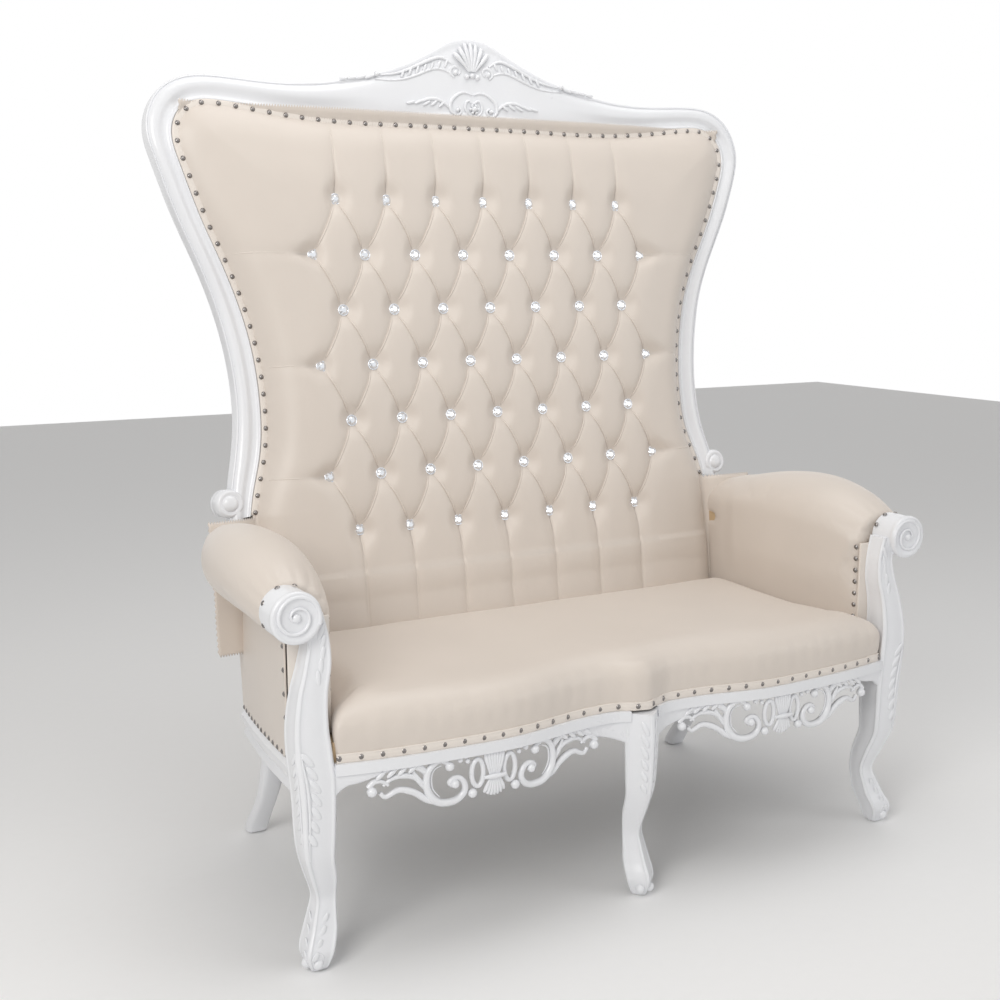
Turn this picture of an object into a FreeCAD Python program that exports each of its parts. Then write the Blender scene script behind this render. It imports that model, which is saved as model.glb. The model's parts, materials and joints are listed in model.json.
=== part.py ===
import FreeCAD, Part
import math
import os
import Sketcher
from FreeCAD import Placement, Rotation, Vector

# High back settee: a waisted, button tufted back in a carved frame, two scroll arms,
# a tight seat and five cabriole and sabre legs. Millimetres, X to the right, Y to the
# rear, Z up, origin on the floor under the middle of the whole piece.

doc = FreeCAD.newDocument("settee")
sheet = doc.addObject("Spreadsheet::Sheet", "Sizes")

# Each row: alias, value in millimetres or degrees or a count, what it is.
SIZES = [
    ("front_line", -337, "y of the line through the front corner feet"),
    ("corner_foot_half", 705, "x of a front corner foot"),
    ("centre_foot_ahead", 42, "centre leg axis ahead of the front line"),
    ("rail_top", 445, "top of the seat rails"),
    ("rail_thick", 30, "thickness of a seat rail"),
    ("front_rail_bottom", 385, "underside of the front seat rails"),
    ("front_half", 674, "x of the seat front's corner"),
    ("front_bow", 33, "how far the seat front bows out"),
    ("bow_half", 345, "x of the middle of one bow"),
    ("skirt_bottom", 408, "lower edge of the seat leather at the front"),
    ("skirt_thick", 9, "thickness of the leather and fibre before the rail"),
    ("seat_edge", 478, "height where the seat starts to round over"),
    ("seat_crown", 512, "top of the seat"),
    ("seat_back_y", 161, "y of the seat's rear edge"),
    ("seat_half_rear", 620, "x of the arm's inner face at the rear"),
    ("seat_half_front", 655, "x of the arm's inner face at the front"),
    ("seat_gap", 1, "clearance beside the seat"),
    ("deck_thick", 2.5, "thickness of the deck cloth"),
    ("wire", 4, "diameter of the spring wire"),
    ("spring_radius", 15, "radius of a spring's turns"),
    ("spring_run", 22, "straight run between two turns"),
    ("spring_count", 9, "number of sinuous springs"),
    ("spring_pitch", 132, "distance between springs"),
    ("leg_size", 88, "depth of a cabriole knee over its ridge"),
    ("leg_joint", 360, "height where the leg becomes its block"),
    ("block_side", 66, "side of the leg block"),
    ("centre_block", 68, "side of the centre leg's block"),
    ("apron_thick", 22, "thickness of the pierced apron"),
    ("apron_bottom", 294, "lowest point of the apron"),
    ("moulding_proud", 5, "how far the front moulding stands out"),
    ("side_rear_y", 224, "y of a side rail's rear end, beside its rear post"),
    ("side_front_half", 738, "outer x of a side rail at the front"),
    ("side_rear_half", 655, "outer x of a side rail at the rear"),
    ("side_drop", 66, "how far the side moulding falls towards the rear"),
    ("side_moulding", 66, "height of the side moulding"),
    ("side_top_front", 398, "top of the side moulding at the front"),
    ("cover_thick", 5, "thickness of an outside panel with its leather"),
    ("rake", 8.31, "how far the back leans, degrees"),
    ("back_y", 174.8, "y of the back's front plane at back_z"),
    ("back_z", 500, "height of the back's own origin"),
    ("frame_set", 8, "how far the frame lies behind the front plane"),
    ("frame_thick", 45, "thickness of the back frame"),
    ("bow_waist", 33, "how far the back bows to the rear at its waist"),
    ("bow_foot", 16, "how far the back bows at its foot"),
    ("crest_top", 1345, "height of the crown along the back"),
    ("shoulder", 1217, "height of the shoulders along the back"),
    ("crest_half", 470, "half width of the crown's rise"),
    ("corner_half", 782, "outer half width at the shoulders"),
    ("corner_height", 1099, "height of the widest point along the back"),
    ("waist_half", 624, "outer half width at the waist"),
    ("waist_height", 512, "height of the waist along the back"),
    ("frame_width", 63, "from the outer edge to the nail line"),
    ("pad_top", 1134, "height of the top nail line along the back"),
    ("stile_joint", 1028, "height of the joint of crest and stile"),
    ("volute_x", 660, "x of a back volute"),
    ("volute_height", 300, "height of a back volute along the back"),
    ("volute_radius", 31, "radius of a back volute"),
    ("volute_proud", 8, "how far a back volute stands out"),
    ("pad_foot", -26, "height of the pad's lower edge along the back"),
    ("pad_foot_half", 616, "half width of the pad between the arms"),
    ("strip_width", 18, "width of the leather strip under the nails"),
    ("strip_thick", 2.7, "thickness of the leather strip"),
    ("button_pitch", 125, "distance between buttons in a row"),
    ("row_pitch", 123.6, "distance between rows of buttons"),
    ("first_row", 959, "height of the top row of buttons"),
    ("button_radius", 13.5, "radius of a button"),
    ("button_height", 9, "height of a button"),
    ("pillow", 27, "height of the tufted pillows"),
    ("crease", 2.2, "half width of a crease"),
    ("nail_radius", 5.4, "radius of a nail's head"),
    ("nail_height", 3, "height of a nail's head"),
    ("nail_pitch", 38, "distance between nails on the back"),
    ("nail_seat", 1.6, "how far the seat nails sit behind the seat's widest line"),
    ("seat_nail_pitch", 41, "distance between nails along the seat"),
    ("post_half", 592, "x of a rear post"),
    ("post_width", 54, "width of a rear post"),
    ("post_top", 262, "top of a rear post along the back"),
    ("post_foot", -200, "foot of a rear post's raked part along the back"),
    ("rear_foot_x", 603, "x of a rear foot"),
    ("rear_foot_y", 318, "y of a rear foot"),
    ("rear_rail_bottom", 315, "underside of the rear seat rail"),
    ("rear_rail_thick", 25, "thickness of the rear seat rail"),
    ("slat_width", 60, "width of a back slat"),
    ("slat_thick", 22, "thickness of a back slat"),
    ("webbing_width", 50, "width of a webbing strip"),
    ("webbing_thick", 2, "thickness of the webbing"),
    ("back_panel_thick", 4, "thickness of the outside back panel"),
    ("roll_radius", 72, "largest radius of an arm roll"),
    ("roll_height", 727, "height of the arm roll's axis"),
    ("roll_half", 735, "x of the arm roll's axis"),
    ("arm_pad_thick", 46, "thickness of the inner arm pad"),
    ("arm_volute_x", 738, "x of an arm volute"),
    ("arm_volute_z", 690, "height of an arm volute"),
    ("arm_volute_radius", 49, "radius of an arm volute"),
    ("arm_volute_depth", 58, "depth of an arm volute"),
    ("post_front", 26, "how far an arm post stands before the front line"),
    ("arm_rail_width", 18, "width of the hidden arm rail"),
    ("arm_rail_height", 26, "height of the hidden arm rail"),
    ("glide_radius", 11, "radius of a foot glide"),
    ("glide_height", 4, "height of a foot glide"),
    ("corner_block_leg", 110, "leg of a corner block"),
    ("corner_block_height", 45, "height of a corner block"),
    ("screw_radius", 2.5, "radius of a block screw"),
    ("screw_length", 50, "length of a block screw"),
    ("clip_thick", 1.6, "thickness of a spring clip over the wire"),
    ("dowel_radius", 5, "radius of a dowel"),
    ("dowel_length", 60, "length of a dowel"),
    ("bolt_radius", 4, "radius of a back bolt"),
    ("dust_thick", 1.5, "thickness of the dust cover"),
    ("shell_radius", 62, "radius of the crest shell"),
    ("carving", 9, "how far the crest carving stands out"),
]
for row, (alias, value, note) in enumerate(SIZES, start=1):
    sheet.set("A%d" % row, alias)
    sheet.set("B%d" % row, str(value))
    sheet.set("C%d" % row, note)
    sheet.setAlias("B%d" % row, alias)
doc.recompute()


def size(alias):
    """A size of the sheet as a number."""
    return float(sheet.get(alias))


CLEAR = 0.3
ACROSS = Vector(1, 0, 0)
BACK_PLACE = Placement(
    Vector(0, size("back_y"), size("back_z")), Rotation(ACROSS, -size("rake"))
)
parts = []


# Helpers that make and register sub-parts

def feature(label, shape, place=None):
    """A shaped piece: its Shape first, then its Placement."""
    piece = doc.addObject("Part::Feature", label)
    piece.Label = label
    piece.Shape = shape
    if place is not None:
        piece.Placement = place
    parts.append(piece)
    return piece


def mirrored(label, source):
    """The same piece on the other side of the middle plane."""
    piece = doc.addObject("Part::Mirroring", label)
    piece.Label = label
    piece.Source = source
    piece.Base = Vector(0, 0, 0)
    piece.Normal = ACROSS
    parts.append(piece)
    return piece


def origin_plane(body, role):
    """One of a body's own origin planes."""
    for item in body.Origin.OriginFeatures:
        if item.Role == role:
            return item


def bind(item, path, formula):
    """Tie a property to the sheet: each sheet alias is written in braces."""
    item.setExpression(path, formula.replace("{", "Sizes.").replace("}", ""))


def board(label, width, depth, height, place, keep=True):
    """A planed board: a centred rectangle padded up; sizes and place are formulas."""
    body = doc.addObject("PartDesign::Body", label)
    body.Label = label
    outline = body.newObject("Sketcher::SketchObject", label + "_outline")
    outline.AttachmentSupport = [(origin_plane(body, "XY_Plane"), "")]
    outline.MapMode = "FlatFace"
    corners = [Vector(-9, -5, 0), Vector(9, -5, 0), Vector(9, 5, 0), Vector(-9, 5, 0)]
    for index in range(4):
        outline.addGeometry(Part.LineSegment(corners[index], corners[(index + 1) % 4]))
    for index in range(4):
        outline.addConstraint(
            Sketcher.Constraint("Coincident", index, 2, (index + 1) % 4, 1)
        )
    outline.addConstraint(Sketcher.Constraint("Horizontal", 0))
    outline.addConstraint(Sketcher.Constraint("Horizontal", 2))
    outline.addConstraint(Sketcher.Constraint("Vertical", 1))
    outline.addConstraint(Sketcher.Constraint("Vertical", 3))
    outline.addConstraint(Sketcher.Constraint("Symmetric", 0, 1, 1, 2, -1, 1))
    across = outline.addConstraint(Sketcher.Constraint("DistanceX", 0, 1, 0, 2, 18))
    along = outline.addConstraint(Sketcher.Constraint("DistanceY", 1, 1, 1, 2, 10))
    bind(outline, "Constraints[%d]" % across, width)
    bind(outline, "Constraints[%d]" % along, depth)
    pad = body.newObject("PartDesign::Pad", label + "_pad")
    pad.Profile = outline
    bind(pad, "Length", height)
    for axis, formula in zip("xyz", place):
        bind(body, "Placement.Base." + axis, formula)
    if keep:
        parts.append(body)
    return body


def curve(points, start=None, end=None):
    """A smooth open curve through points."""
    spline = Part.BSplineCurve()
    if start is None:
        spline.interpolate(points)
    else:
        spline.interpolate(Points=points, InitialTangent=start, FinalTangent=end)
    return spline


def ring(points):
    """A smooth closed wire through points."""
    spline = Part.BSplineCurve()
    spline.interpolate(Points=points, PeriodicFlag=True)
    return Part.Wire(spline.toShape())


def polygon(points):
    """A closed wire of straight edges."""
    return Part.makePolygon(points + [points[0]])


def loft(wires, ruled=False):
    """A solid through closed wires."""
    return Part.makeLoft(wires, True, ruled)


def superellipse(centre, first, second, first_half, second_half, power):
    """Twelve points round a section that goes from an ellipse (1) to a diamond (2)."""
    points = []
    for index in range(12):
        angle = index * math.pi / 6
        cosine = math.cos(angle)
        sine = math.sin(angle)
        along = math.copysign(abs(cosine) ** power, cosine) * first_half
        across = math.copysign(abs(sine) ** power, sine) * second_half
        points.append(centre + first * along + second * across)
    return points


# The back, in its own frame: x across, y square to the back, z up along it

def blend(low, high, at):
    """A smooth step from 0 at low to 1 at high."""
    share = min(1.0, max(0.0, (at - low) / (high - low)))
    return share * share * (3 - 2 * share)


def bow_at(height):
    """How far the back bows to the rear at a height along it."""
    waist = size("bow_waist")
    foot = size("bow_foot")
    level = size("waist_height")
    rise = blend(size("post_top") - 40, level - 80, height)
    fall = blend(level + 200, size("corner_height") - 20, height)
    return foot + (waist - foot) * rise - waist * fall


def bow_points(shift):
    """The back's side view, moved to the rear by a distance."""
    low = size("post_foot") - 60
    high = size("crest_top") + 40
    count = 18
    points = []
    for index in range(count + 1):
        level = low + (high - low) * index / count
        points.append(Vector(0, bow_at(level) + shift, level))
    return points


def slab(front, rear, flat_front=None):
    """The space between two shifts of the side view, right across the back."""
    rear_line = curve(bow_points(rear))
    if flat_front is None:
        front_edge = curve(bow_points(front)).toShape()
    else:
        low = rear_line.value(rear_line.FirstParameter)
        high = rear_line.value(rear_line.LastParameter)
        front_edge = Part.makeLine(Vector(0, flat_front, low.z), Vector(0, flat_front, high.z))
    rear_edge = rear_line.toShape()
    ends = []
    for pick in (0, -1):
        first = front_edge.Vertexes[pick].Point
        second = rear_edge.Vertexes[pick].Point
        ends.append(Part.makeLine(first, second))
    face = Part.Face(Part.Wire(Part.__sortEdges__([front_edge, ends[1], rear_edge, ends[0]])))
    width = 2 * size("corner_half") + 200
    face.translate(Vector(-width / 2, 0, 0))
    return face.extrude(Vector(width, 0, 0))


# Share of the way up from waist to shoulder, and share of the way out
SIDE_SHAPE = [(0.174, 0.04), (0.368, 0.185), (0.547, 0.42), (0.687, 0.645), (0.901, 0.925)]
# Share of the crown's half width, and share of its rise
CROWN_SHAPE = [(0.766, 0.06), (0.574, 0.215), (0.434, 0.36), (0.33, 0.515), (0.19, 0.777)]


def side_points(low_half, low, high_half, high):
    """Points up one side of the back, from the waist to the widest point."""
    points = [Vector(low_half, 0, low)]
    for up, out in SIDE_SHAPE:
        points.append(Vector(low_half + out * (high_half - low_half), 0, low + up * (high - low)))
    points.append(Vector(high_half, 0, high))
    return points


def outer_points():
    """Outer edge of the frame from the right volute up to the crown's top."""
    corner = size("corner_half")
    height = size("corner_height")
    shoulder = size("shoulder")
    rise = size("crest_top") - shoulder
    half = size("crest_half")
    low = size("waist_height")
    waist = size("waist_half")
    foot = size("post_top")
    points = [
        Vector(waist + 38, 0, foot),
        Vector(waist + 28, 0, low - 179),
        Vector(waist + 14, 0, low - 118),
    ]
    points += side_points(waist, low, corner, height)
    points += [
        Vector(corner - 7, 0, height + 0.35 * (shoulder - height)),
        Vector(corner - 37, 0, height + 0.75 * (shoulder - height)),
        Vector(corner - 92, 0, shoulder - 1),
        Vector(corner - 142, 0, shoulder + 4),
        Vector(corner - 232, 0, shoulder),
        Vector(half, 0, shoulder - 2),
    ]
    points += [Vector(out * half, 0, shoulder + up * rise) for out, up in CROWN_SHAPE]
    points.append(Vector(0.09 * half, 0, size("crest_top") - 6))
    return points


def nail_points():
    """The nail line from the pad's foot corner up to the middle of the top."""
    corner = size("corner_half") - size("frame_width")
    height = size("corner_height") - 8
    waist = size("waist_half") - size("frame_width")
    low = size("waist_height")
    top = size("pad_top")
    foot = size("pad_foot_half") - 9
    points = [
        Vector(foot, 0, size("volute_height") - 30),
        Vector(waist + 34, 0, low - 194),
        Vector(waist + 11, 0, low - 119),
    ]
    points += side_points(waist, low, corner, height)
    points += [
        Vector(corner - 8, 0, top - 11),
        Vector(corner - 29, 0, top + 13),
        Vector(corner - 54, 0, top + 24),
        Vector(corner - 98, 0, top + 25),
        Vector(corner - 218, 0, top + 11),
        Vector(size("crest_half") - 120, 0, top),
        Vector(size("crest_half") / 3, 0, top),
    ]
    return points


def both_sides(points, middle=None):
    """The points of one side, the middle, and the other side's points in turn."""
    centre = [] if middle is None else [middle]
    return points + centre + [Vector(-p.x, p.y, p.z) for p in reversed(points)]


def shifted(spline, distance, count=44):
    """A curve moved outwards in the plane of the back by a distance."""
    first = spline.FirstParameter
    span = spline.LastParameter - first
    points = []
    for index in range(count + 1):
        at = first + span * index / count
        along = spline.tangent(at)[0]
        points.append(spline.value(at) + Vector(along.z, 0, -along.x) * distance)
    return curve(points)


OUTER = curve(both_sides(outer_points(), Vector(0, 0, size("crest_top"))))
NAILS = curve(both_sides(nail_points(), Vector(0, 0, size("pad_top"))))


def closed_below(spline, floor_half, floor):
    """A face under a curve, closed by lines down to a level foot."""
    first = spline.value(spline.FirstParameter)
    last = spline.value(spline.LastParameter)
    corners = [
        last,
        Vector(-floor_half, 0, floor),
        Vector(floor_half, 0, floor),
        first,
    ]
    edges = [spline.toShape()]
    for index in range(3):
        if corners[index].distanceToPoint(corners[index + 1]) > 1e-6:
            edges.append(Part.makeLine(corners[index], corners[index + 1]))
    return Part.Face(Part.Wire(edges))


def through(face, front=-60, rear=140):
    """A face of the back's plane, pushed through the thickness of the back."""
    copy = face.copy()
    copy.translate(Vector(0, front, 0))
    return copy.extrude(Vector(0, rear - front, 0))


def back_box(x_low, x_high, low, high):
    """A box through the back's thickness."""
    return Part.makeBox(x_high - x_low, 260, high - low, Vector(x_low, -80, low))


FRAME_SLAB = slab(size("frame_set"), size("frame_set") + size("frame_thick"))
OPENING = through(closed_below(
    shifted(NAILS, size("strip_width") / 2 - size("strip_width") - 13),
    size("post_half") - size("post_width") / 2 + 5,
    size("post_top") - 40,
))
OUTLINE = through(closed_below(OUTER, size("waist_half") + 38, size("post_top") - 20))
WIDE = size("corner_half") + 100


def crest_rail():
    """The top rail, sawn from a wide board and bowed with the back."""
    zone = back_box(-WIDE, WIDE, size("stile_joint"), size("crest_top") + 60)
    return OUTLINE.cut(OPENING).common(zone).common(FRAME_SLAB)


def back_stile():
    """One waisted side of the frame, with the volute that ends it."""
    zone = back_box(0, WIDE, size("post_top"), size("stile_joint"))
    body = OUTLINE.cut(OPENING).common(zone).common(FRAME_SLAB)
    depth = bow_at(size("volute_height")) + size("frame_set")
    centre = Vector(size("volute_x"), depth - size("volute_proud"), size("volute_height"))
    reach = size("frame_thick") + size("volute_proud")
    disc = Part.makeCylinder(size("volute_radius"), reach, centre, Vector(0, 1, 0))
    boss = Part.makeCone(
        0.35 * size("volute_radius"), 0.6 * size("volute_radius"), 5,
        centre - Vector(0, 5, 0), Vector(0, 1, 0)
    )
    whole = body.multiFuse([disc, boss]).removeSplitter()
    return whole.Solids[0]


def pad_outline(distance):
    """The pad's outline, moved in or out of the nail line."""
    return closed_below(
        shifted(NAILS, distance), size("pad_foot_half"), size("pad_foot")
    )


def row_height(index):
    return size("first_row") - index * size("row_pitch")


def row_places(index):
    """Where the buttons of a row lie: seven and eight in turn."""
    count = 7 + index % 2
    pitch = size("button_pitch")
    return [(place - (count - 1) / 2) * pitch for place in range(count)]


ROWS = 7


def button_centres():
    centres = []
    for index in range(ROWS):
        for place in row_places(index):
            centres.append(Vector(place, 0, row_height(index)))
    return centres


def inset(points, distance):
    """A polygon with each side moved in by the same distance."""
    count = len(points)
    middle = sum(points, Vector()) * (1.0 / count)
    lines = []
    for index in range(count):
        start = points[index]
        along = points[(index + 1) % count] - start
        along.normalize()
        inward = Vector(-along.z, 0, along.x)
        if inward.dot(middle - start) < 0:
            inward = inward * -1
        lines.append((start + inward * distance, along))
    moved = []
    for index in range(count):
        first, way = lines[index - 1]
        second, other = lines[index]
        cross = way.x * other.z - way.z * other.x
        gap = second - first
        share = (gap.x * other.z - gap.z * other.x) / cross
        moved.append(first + way * share)
    return moved


def pillow(points):
    """One tufted pillow: a smooth mound over a polygon, hollowed at its buttons."""
    height = size("pillow")
    crease = size("crease")
    steps = [(crease, 2), (crease + 1, -0.2 * height), (crease + 8, -0.7 * height),
             (crease + 26, -height)]
    wires = []
    for distance, level in steps:
        moved = inset(points, distance)
        wires.append(polygon([Vector(p.x, level, p.z) for p in moved]))
    return loft(wires)


def tuft_cells():
    """The outline of each pillow between buttons, pleats and the border."""
    cells = []
    half = size("button_pitch") / 2
    pitch = size("row_pitch")
    for index in range(ROWS - 2):
        inner = row_places(index) if index % 2 == 0 else row_places(index)[1:-1]
        for place in inner:
            top = row_height(index)
            cells.append([
                Vector(place, 0, top), Vector(place + half, 0, top - pitch),
                Vector(place, 0, top - 2 * pitch), Vector(place - half, 0, top - pitch),
            ])
    high = row_height(0)
    low = row_height(ROWS - 1)
    top_edge = size("pad_top") - 20
    foot_edge = size("pad_foot") + 4
    for place in row_places(0)[:-1]:
        right = place + 2 * half
        cells.append([
            Vector(place, 0, top_edge), Vector(right, 0, top_edge), Vector(right, 0, high),
            Vector(place + half, 0, high - pitch), Vector(place, 0, high),
        ])
        cells.append([
            Vector(place, 0, foot_edge), Vector(right, 0, foot_edge), Vector(right, 0, low),
            Vector(place + half, 0, low + pitch), Vector(place, 0, low),
        ])
    return cells


def side_cells():
    """The right border's pillows: a shoulder, two at the waist and one over the arm."""
    last = row_places(0)[-1]
    out = row_places(1)[-1]
    margin = 16
    waist = size("waist_half") - size("frame_width") - margin
    corner = size("corner_half") - size("frame_width") - margin
    top = size("pad_top")
    high = size("corner_height")
    shoulder = [
        Vector(last, 0, row_height(0)), Vector(last, 0, top - 20),
        Vector(corner - 95, 0, top + 2), Vector(corner - 30, 0, top - 8),
        Vector(corner, 0, high - 18), Vector(corner - 40, 0, high - 150),
        Vector(waist + 50, 0, row_height(1)), Vector(out, 0, row_height(1)),
    ]
    upper = [
        Vector(out, 0, row_height(1)), Vector(waist + 50, 0, row_height(1)),
        Vector(waist + 12, 0, row_height(2)), Vector(waist, 0, row_height(3)),
        Vector(out, 0, row_height(3)), Vector(last, 0, row_height(2)),
    ]
    lower = [
        Vector(out, 0, row_height(3)), Vector(waist, 0, row_height(3)),
        Vector(waist - 2, 0, row_height(4)), Vector(waist + 10, 0, row_height(5)),
        Vector(out, 0, row_height(5)), Vector(last, 0, row_height(4)),
    ]
    foot = size("pad_foot_half") - 6
    arm = [
        Vector(out, 0, row_height(5)), Vector(waist + 10, 0, row_height(5)),
        Vector(foot - 12, 0, row_height(6) + 35), Vector(foot, 0, row_height(6)),
        Vector(foot, 0, size("pad_foot") + 4), Vector(last, 0, size("pad_foot") + 4),
        Vector(last, 0, row_height(6)),
    ]
    return [shoulder, upper, lower, arm]


def back_pad():
    """The tufted pad: a slab on the frame with a pillow in each cell."""
    base = through(pad_outline(-size("strip_width") / 2 - CLEAR))
    base = base.common(slab(0, size("frame_set") - CLEAR, flat_front=0))
    cells = tuft_cells()
    for cell in side_cells():
        cells.append(cell)
        cells.append([Vector(-p.x, p.y, p.z) for p in cell])
    pillows = [pillow(cell) for cell in cells]
    holes = []
    for centre in button_centres():
        holes.append(Part.makeCylinder(
            size("button_radius") + 1.5, 80, centre + Vector(0, -80, 0), Vector(0, 1, 0)
        ))
    mounds = [mound.cut(holes) if near(mound, holes) else mound for mound in pillows]
    return base.multiFuse(mounds)


def near(shape, others):
    box = shape.BoundBox
    return any(box.intersect(other.BoundBox) for other in others)


def button():
    """A faceted crystal in a shallow rim, seated in its dimple."""
    radius = size("button_radius")
    height = size("button_height")
    rim = Part.makeCone(radius, 0.92 * radius, 0.35 * height, Vector(), Vector(0, -1, 0))
    facets = 10
    wires = []
    for share, level in ((0.84, 0.35), (0.78, 0.62), (0.42, 1.0)):
        points = []
        for index in range(facets):
            angle = 2 * math.pi * index / facets
            points.append(Vector(
                share * radius * math.cos(angle), -level * height, share * radius * math.sin(angle)
            ))
        wires.append(polygon(points))
    return rim.fuse(loft(wires, True))


def copies(shape, places):
    """The same solid at each place, kept as separate solids."""
    solids = []
    for place in places:
        solid = shape.copy()
        solid.Placement = place
        solids.append(solid)
    return Part.Compound(solids)


def nail():
    """A domed nail head that stands up along +Z."""
    radius = size("nail_radius")
    height = size("nail_height")
    ball = (radius * radius + height * height) / (2 * height)
    sphere = Part.makeSphere(ball, Vector(0, 0, height - ball))
    keep = Part.makeBox(4 * radius, 4 * radius, height + 1, Vector(-2 * radius, -2 * radius, 0))
    return sphere.common(keep).Solids[0]


def nails_along(spline, pitch, way, trim=0.0):
    """Placements of nails at an even pitch along a curve, pointing one way."""
    length = spline.length() - 2 * trim
    count = max(2, round(length / pitch))
    turn = Rotation(Vector(0, 0, 1), way)
    places = []
    for index in range(count + 1):
        at = spline.parameterAtDistance(trim + length * index / count)
        places.append(Placement(spline.value(at), turn))
    return places


# The seat in plan

def front_edge(inward=0.0, half=None):
    """The serpentine seat front as a curve from left to right, at height zero."""
    half = size("front_half") if half is None else half
    bow = size("front_bow")
    peak = size("bow_half")
    line = size("front_line") - 32 + inward
    side = [
        (half, 0), (peak + 255, 0.45), (peak + 60, 0.95), (peak - 10, 1.0),
        (peak - 95, 0.72), (peak - 180, 0.2), (peak - 235, 0.05), (peak - 290, 0.2),
    ]
    points = [Vector(-x, line - bow * out, 0) for x, out in side]
    points.append(Vector(0, line - 0.85 * bow, 0))
    points += [Vector(x, line - bow * out, 0) for x, out in reversed(side)]
    return curve(points)


def side_face(share):
    """Inner arm face beside the seat: x at a share of the seat's depth."""
    swell = min(1.0, share / 0.45)
    front = size("seat_half_front")
    return front + (size("seat_half_rear") - front) * math.sin(swell * math.pi / 2)


def seat_wire(inward, level):
    """The seat's outline in plan, moved in by a distance, at a height."""
    front = front_edge(inward, size("front_half") - inward).toShape()
    front.translate(Vector(0, 0, level))
    corner = front.valueAt(front.LastParameter)
    start_y = size("front_line") + 28
    rear_y = size("seat_back_y") - inward
    right = []
    for share in (0.0, 0.12, 0.27, 0.45, 0.72, 1.0):
        y = start_y + share * (rear_y - start_y)
        right.append(Vector(side_face(share) - size("seat_gap") - inward, y, level))
    left = [Vector(-p.x, p.y, p.z) for p in reversed(right)]
    return Part.Wire([
        front,
        Part.makeLine(corner, right[0]),
        curve(right).toShape(),
        Part.makeLine(right[-1], left[0]),
        curve(left).toShape(),
        Part.makeLine(left[-1], Vector(-corner.x, corner.y, level)),
    ])


def plan_strip(front_in, rear_in, low, high, x_low, x_high):
    """A board that follows the seat front in plan, between two depths and two heights."""
    first = front_edge(front_in).toShape()
    second = front_edge(rear_in).toShape()
    ends = [
        Part.makeLine(first.Vertexes[0].Point, second.Vertexes[0].Point),
        Part.makeLine(first.Vertexes[-1].Point, second.Vertexes[-1].Point),
    ]
    face = Part.Face(Part.Wire(Part.__sortEdges__([first, ends[1], second, ends[0]])))
    face.translate(Vector(0, 0, low))
    solid = face.extrude(Vector(0, 0, high - low))
    zone = Part.makeBox(x_high - x_low, 900, high - low + 20, Vector(x_low, -700, low - 10))
    return solid.common(zone)


def seat_cushion():
    """The tight seat: crown, drawn-in sides and the lip over the front rail."""
    levels = [
        (1, size("skirt_bottom")),
        (0, size("rail_top") + 8),
        (3, size("seat_edge")),
        (26, size("seat_crown") - 10),
        (80, size("seat_crown")),
    ]
    body = loft([seat_wire(inward, level) for inward, level in levels])
    depth = deck_level() + size("deck_thick") + CLEAR
    low = size("skirt_bottom") - 20
    hollow = plan_strip(size("skirt_thick"), 130, low, depth, -WIDE, WIDE)
    rear = Part.makeBox(
        2 * WIDE, 700, depth - low, Vector(-WIDE, size("front_line") + 30, low)
    )
    return body.cut([hollow, rear])


def front_rail():
    """Structural front rail from the centre leg to the corner leg."""
    inner = size("centre_block") / 2 + CLEAR
    outer = size("corner_foot_half") + 3 - size("block_side") / 2 - CLEAR
    start = size("skirt_thick") + 1
    return plan_strip(
        start, start + size("rail_thick"), size("front_rail_bottom"), size("rail_top"),
        inner, outer
    )


def front_moulding():
    """The moulded strip under the seat's nails."""
    inner = size("centre_block") / 2 + CLEAR
    outer = size("corner_foot_half") + 3 - size("block_side") / 2 - CLEAR
    proud = -size("moulding_proud")
    return plan_strip(
        proud, size("skirt_thick") + 1, size("front_rail_bottom"),
        size("skirt_bottom") - 1, inner, outer
    )


# Carved lobes of one apron half, as shares: along from the centre leg to the corner leg,
# down from the top, radius; the last list is pierced
APRON_LOBES = [
    (0.68, 0.545, 0.43), (0.384, 0.56, 0.42), (0.484, 0.62, 0.37), (0.60, 0.74, 0.25),
    (0.445, 0.74, 0.24), (0.545, 0.45, 0.30), (0.763, 0.32, 0.30), (0.845, 0.26, 0.28),
    (0.905, 0.36, 0.16), (0.955, 0.20, 0.30), (0.30, 0.36, 0.30), (0.23, 0.30, 0.28),
    (0.15, 0.16, 0.26), (0.06, 0.20, 0.30),
]
APRON_HOLES = [
    (0.672, 0.53, 0.17), (0.392, 0.55, 0.17), (0.56, 0.42, 0.11), (0.745, 0.42, 0.09),
    (0.825, 0.28, 0.08), (0.31, 0.42, 0.09), (0.235, 0.30, 0.08),
]


def apron(legs):
    """The pierced carved apron of one half, with its main scrolls."""
    inner = size("centre_block") / 2 + CLEAR
    outer = size("corner_foot_half") + 3 - size("block_side") / 2 - CLEAR
    top = size("front_rail_bottom") - CLEAR
    deep = top - size("apron_bottom")
    lobes = []
    for share, down, radius in APRON_LOBES:
        centre = Vector(inner + share * (outer - inner), -700, top - down * deep)
        lobes.append(Part.makeCylinder(radius * deep, 900, centre, Vector(0, 1, 0)))
    band = Part.makeBox(outer - inner, 900, 0.26 * deep, Vector(inner, -700, top - 0.26 * deep))
    pierced = []
    for share, down, radius in APRON_HOLES:
        centre = Vector(inner + share * (outer - inner), -700, top - down * deep)
        pierced.append(Part.makeCylinder(radius * deep, 900, centre, Vector(0, 1, 0)))
    silhouette = band.multiFuse(lobes).removeSplitter().cut(pierced)
    board_shape = plan_strip(
        0, size("apron_thick"), size("apron_bottom") - 5, top, inner, outer
    )
    return silhouette.common(board_shape).cut(legs)


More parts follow.
